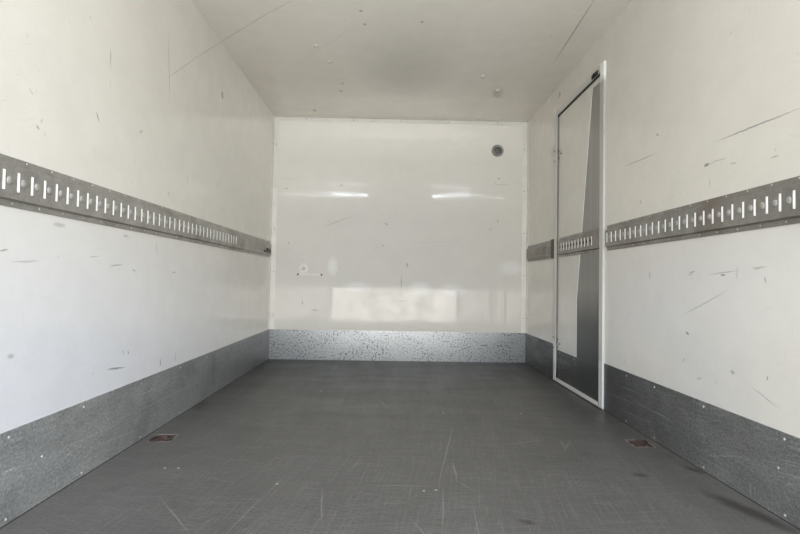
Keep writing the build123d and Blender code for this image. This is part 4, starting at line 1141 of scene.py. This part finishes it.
# Bolts of one hinge: behind the front wall, and above the hinge's middle
HINGE_BOLTS_POST = ((0.762, 0.039), (0.762, -0.031))
HINGE_BOLTS_LEAF = ((0.814, 0.028), (0.814, -0.022), (0.853, 0.002))
BOLT_END_SIZE = (0.006, 0.004)
STRAP_THICKNESS = 0.005
STRAP_BOLT_RADIUS = 0.0045
PADDLE_INSET = 0.030
PADDLE_RISE = (0.045, 0.085)

hinge_zinc = galvanised("hinge_zinc", (0.46, 0.46, 0.44), (0.32, 0.32, 0.30), MUD, 0.36, 0.6, 0.3)
dress(hinge_zinc, "side_door_hinges", "side_door_hinge_butts")
latch_black = mottled("latch_black", (0.016, 0.016, 0.017), (0.035, 0.035, 0.036), 30.0, 0.4, detail=4,
                      band=(0.4, 0.7), grain=(500.0, 0.0002, 0.6))
dress(latch_black, "side_door_latch")
heads = bmesh.new()
for middle in HINGE_MIDDLES:
    for back, rise in HINGE_BOLTS_POST:
        put_dome(heads, inside(post_low.x, back, middle + rise), (-1, 0, 0), *BOLT_END_SIZE)
finished("side_door_post_bolts", heads, dark_screw)
heads = bmesh.new()
outer_heads = bmesh.new()
x_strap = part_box("side_door_panel")[1].x + STRAP_THICKNESS
for middle in HINGE_MIDDLES:
    for back, rise in HINGE_BOLTS_LEAF:
        put_dome(heads, inside(x_wall, back, middle + rise), (-1, 0, 0), *BOLT_END_SIZE)
        put_bolt(outer_heads, inside(x_strap, back, middle + rise), (1, 0, 0), STRAP_BOLT_RADIUS)
finished("side_door_leaf_bolts", heads, dark_screw, body="side_door")
finished("side_door_strap_bolts", outer_heads, zinc_bolt, body="side_door")
handle_low, handle_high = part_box("side_door_latch")
paddle = bmesh.new()
put_block(paddle, (handle_high.x - 0.001, handle_low.y + PADDLE_INSET, handle_low.z + PADDLE_RISE[0]),
          (handle_high.x + 0.004, handle_high.y - PADDLE_INSET, handle_low.z + PADDLE_RISE[1]), 0.002)
finished("side_door_paddle", paddle, latch_black, body="side_door")

# Rear frame
# Header, sill and posts of closed steel section are welded up and painted white. Keepers for the
# lock rods, rubber buffers and amber marker lamps are fixed on.
FRAME_WHITE = (0.70, 0.70, 0.68)
FRAME_DIRT = (0.34, 0.32, 0.29)
AMBER = (0.72, 0.20, 0.015)
AMBER_LIGHT = (0.90, 0.34, 0.03)

frame_paint = worn_paint("frame_paint", FRAME_WHITE, FRAME_DIRT, SILL_RUST, 0.35)
dress(frame_paint, "rear_header", "rear_sill", "rear_post_left", "rear_post_right")
dress(cross_zinc, "lock_keepers")
lens, tree, shader, place = new_finish("amber_lens", 0.12)
waves = add(tree, "TexWave", {"Vector": place, "Scale": 60.0, "Distortion": 0.4}, bands_direction="Z")
fluted = waves.outputs["Fac"]
tree.links.new(tint(tree, fluted, AMBER, AMBER_LIGHT), shader.inputs["Base Color"])
bumped(tree, shader, fluted, 0.0008, 0.6)
dress(lens, "marker_lamps")

# Rear doors
# Two leaves of the same white panel turn right round on zinc-plated hinges and fold back along
# the side walls. Each has a rubber seal, a lock rod in four bearings and a handle.
ROD_ZINC = (0.55, 0.55, 0.53)
ROD_ZINC_DULL = (0.40, 0.40, 0.38)


def nowhere(tree, spots):
    """Empty mask: a rear door folds back with its inner face outdoors, so both faces weather alike."""
    return maths(tree, "LESS_THAN", spots[2], -9.0)


rod_zinc = galvanised("rod_zinc", ROD_ZINC, ROD_ZINC_DULL, MUD, 0.33, 0.7, 0.25)
for hand, side in (("left", -1), ("right", 1)):
    body = "rear_door_" + hand
    dress(rod_zinc, body + "_lock", body + "_hinges")
    dress(gel_coat("gel_coat_" + body, "side", nowhere), body + "_panel")
    edge_leaf(body, side)

# Camera
# The eye stands in the open rear doorway, a little left of the middle and nearly level, with a wide
# lens. The photo's width and the lens's length are in pixels.
EYE = inside(-0.058, 4.208, 0.648)
TURN, TILT, ROLL = -0.898, 1.636, 0.942
FOCAL_PIXELS, PHOTO_PIXELS = 512.43, 800

camera_data = bpy.data.cameras.new("camera")
camera_data.sensor_width = 36.0
camera_data.lens = camera_data.sensor_width * FOCAL_PIXELS / PHOTO_PIXELS
camera_data.clip_start = 0.02
camera = bpy.data.objects.new("camera", camera_data)
scene.collection.objects.link(camera)
camera.matrix_world = (Matrix.Translation(EYE) @ Matrix.Rotation(math.radians(TURN), 4, "Z")
                       @ Matrix.Rotation(math.radians(90 + TILT), 4, "X")
                       @ Matrix.Rotation(math.radians(ROLL), 4, "Z"))
scene.camera = camera

# Light
# Daylight falls in through the open rear end: soft light from the sky behind the camera, light
# from the ground, and two thin strips that the glossy front wall mirrors. Lamps round the outside
# light the roof, the sides and the front.
SKY_COLOUR = (0.86, 0.92, 1.0)
SKY_STRENGTH = 0.42
DAYLIGHT_COLOUR = (0.83, 0.905, 1.0)
GROUND_COLOUR = (1.0, 0.94, 0.865)
# Lamps round the outside: name, place from the middle and behind the front wall, and turn
OUTSIDE_LAMPS = (("left_lamp", -6.0, 1.2, -90), ("right_lamp", 6.0, 1.2, 90), ("front_lamp", 0.0, -5.0, 180))
OUTSIDE_RISE = 2.6
OUTSIDE_SIZE = (4.0, 3.0)
OUTSIDE_POWER = 70

scene.view_settings.view_transform = "Standard"
world = bpy.data.worlds.new("studio")
world.use_nodes = True
world.node_tree.nodes["Background"].inputs["Color"].default_value = (*SKY_COLOUR, 1)
world.node_tree.nodes["Background"].inputs["Strength"].default_value = SKY_STRENGTH
scene.world = world


def soft_light(name, place, turn, size, power, colour, mirrored=True):
    """Large soft lamp that the camera doesn't see."""
    lamp = bpy.data.lights.new(name, "AREA")
    lamp.shape = "RECTANGLE"
    lamp.size, lamp.size_y = size
    lamp.energy = power
    lamp.color = colour
    light = bpy.data.objects.new(name, lamp)
    light.location = place
    light.rotation_euler = [math.radians(angle) for angle in turn]
    light.visible_camera = False
    light.visible_glossy = mirrored
    scene.collection.objects.link(light)
    return light


daylight = (soft_light("doorway_light", inside(0.45, 6.0, 1.9), (72, 0, 8), (3.2, 2.2), 218,
                       DAYLIGHT_COLOUR, False),
            soft_light("ground_light", inside(0.2, 5.4, -0.15), (124, 0, 0), (3.2, 1.6), 106,
                       GROUND_COLOUR, True))
soft_light("strip_left", inside(-0.730, 3.30, 1.912), (90, 0, 0), (0.63, 0.032), 1.3, DAYLIGHT_COLOUR)
soft_light("strip_right", inside(0.780, 3.30, 1.926), (90, -3.5, 0), (0.53, 0.032), 1.1, DAYLIGHT_COLOUR)
soft_light("roof_lamp", inside(0.0, 0.6, 5.6), (0, 0, 0), (6.0, 6.0), 110, SKY_COLOUR, False)
for name, x, back, turn in OUTSIDE_LAMPS:
    soft_light(name, inside(x, back, OUTSIDE_RISE), (80, 0, turn), OUTSIDE_SIZE, OUTSIDE_POWER, SKY_COLOUR,
               False)

# The rear frame and the rear doors stand close to the two daylight lamps, which would bleach their
# outer faces. So those lamps pass them by, and the sky and the ground light them.
spared = bpy.data.collections.new("spared_from_daylight")
for name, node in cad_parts.items():
    if name.startswith("rear_") or name in ("lock_keepers", "marker_lamps"):
        spared.objects.link(node)
for entry in spared.collection_objects:
    entry.light_linking.link_state = "EXCLUDE"
for light in daylight:
    light.light_linking.receiver_collection = spared

# Studio floor
# A plain pale ground that the subframe stands on. It isn't part of the body.
STUDIO_HALF = 30.0

ground = bmesh.new()
bmesh.ops.create_grid(ground, x_segments=1, y_segments=1, size=STUDIO_HALF)
floor_mesh = bpy.data.meshes.new("studio_floor")
ground.to_mesh(floor_mesh)
ground.free()
floor_mesh.materials.append(mottled("pale_floor", (0.60, 0.60, 0.59), (0.64, 0.64, 0.63), 0.8, 0.8))
floor = bpy.data.objects.new("studio_floor", floor_mesh)
scene.collection.objects.link(floor)
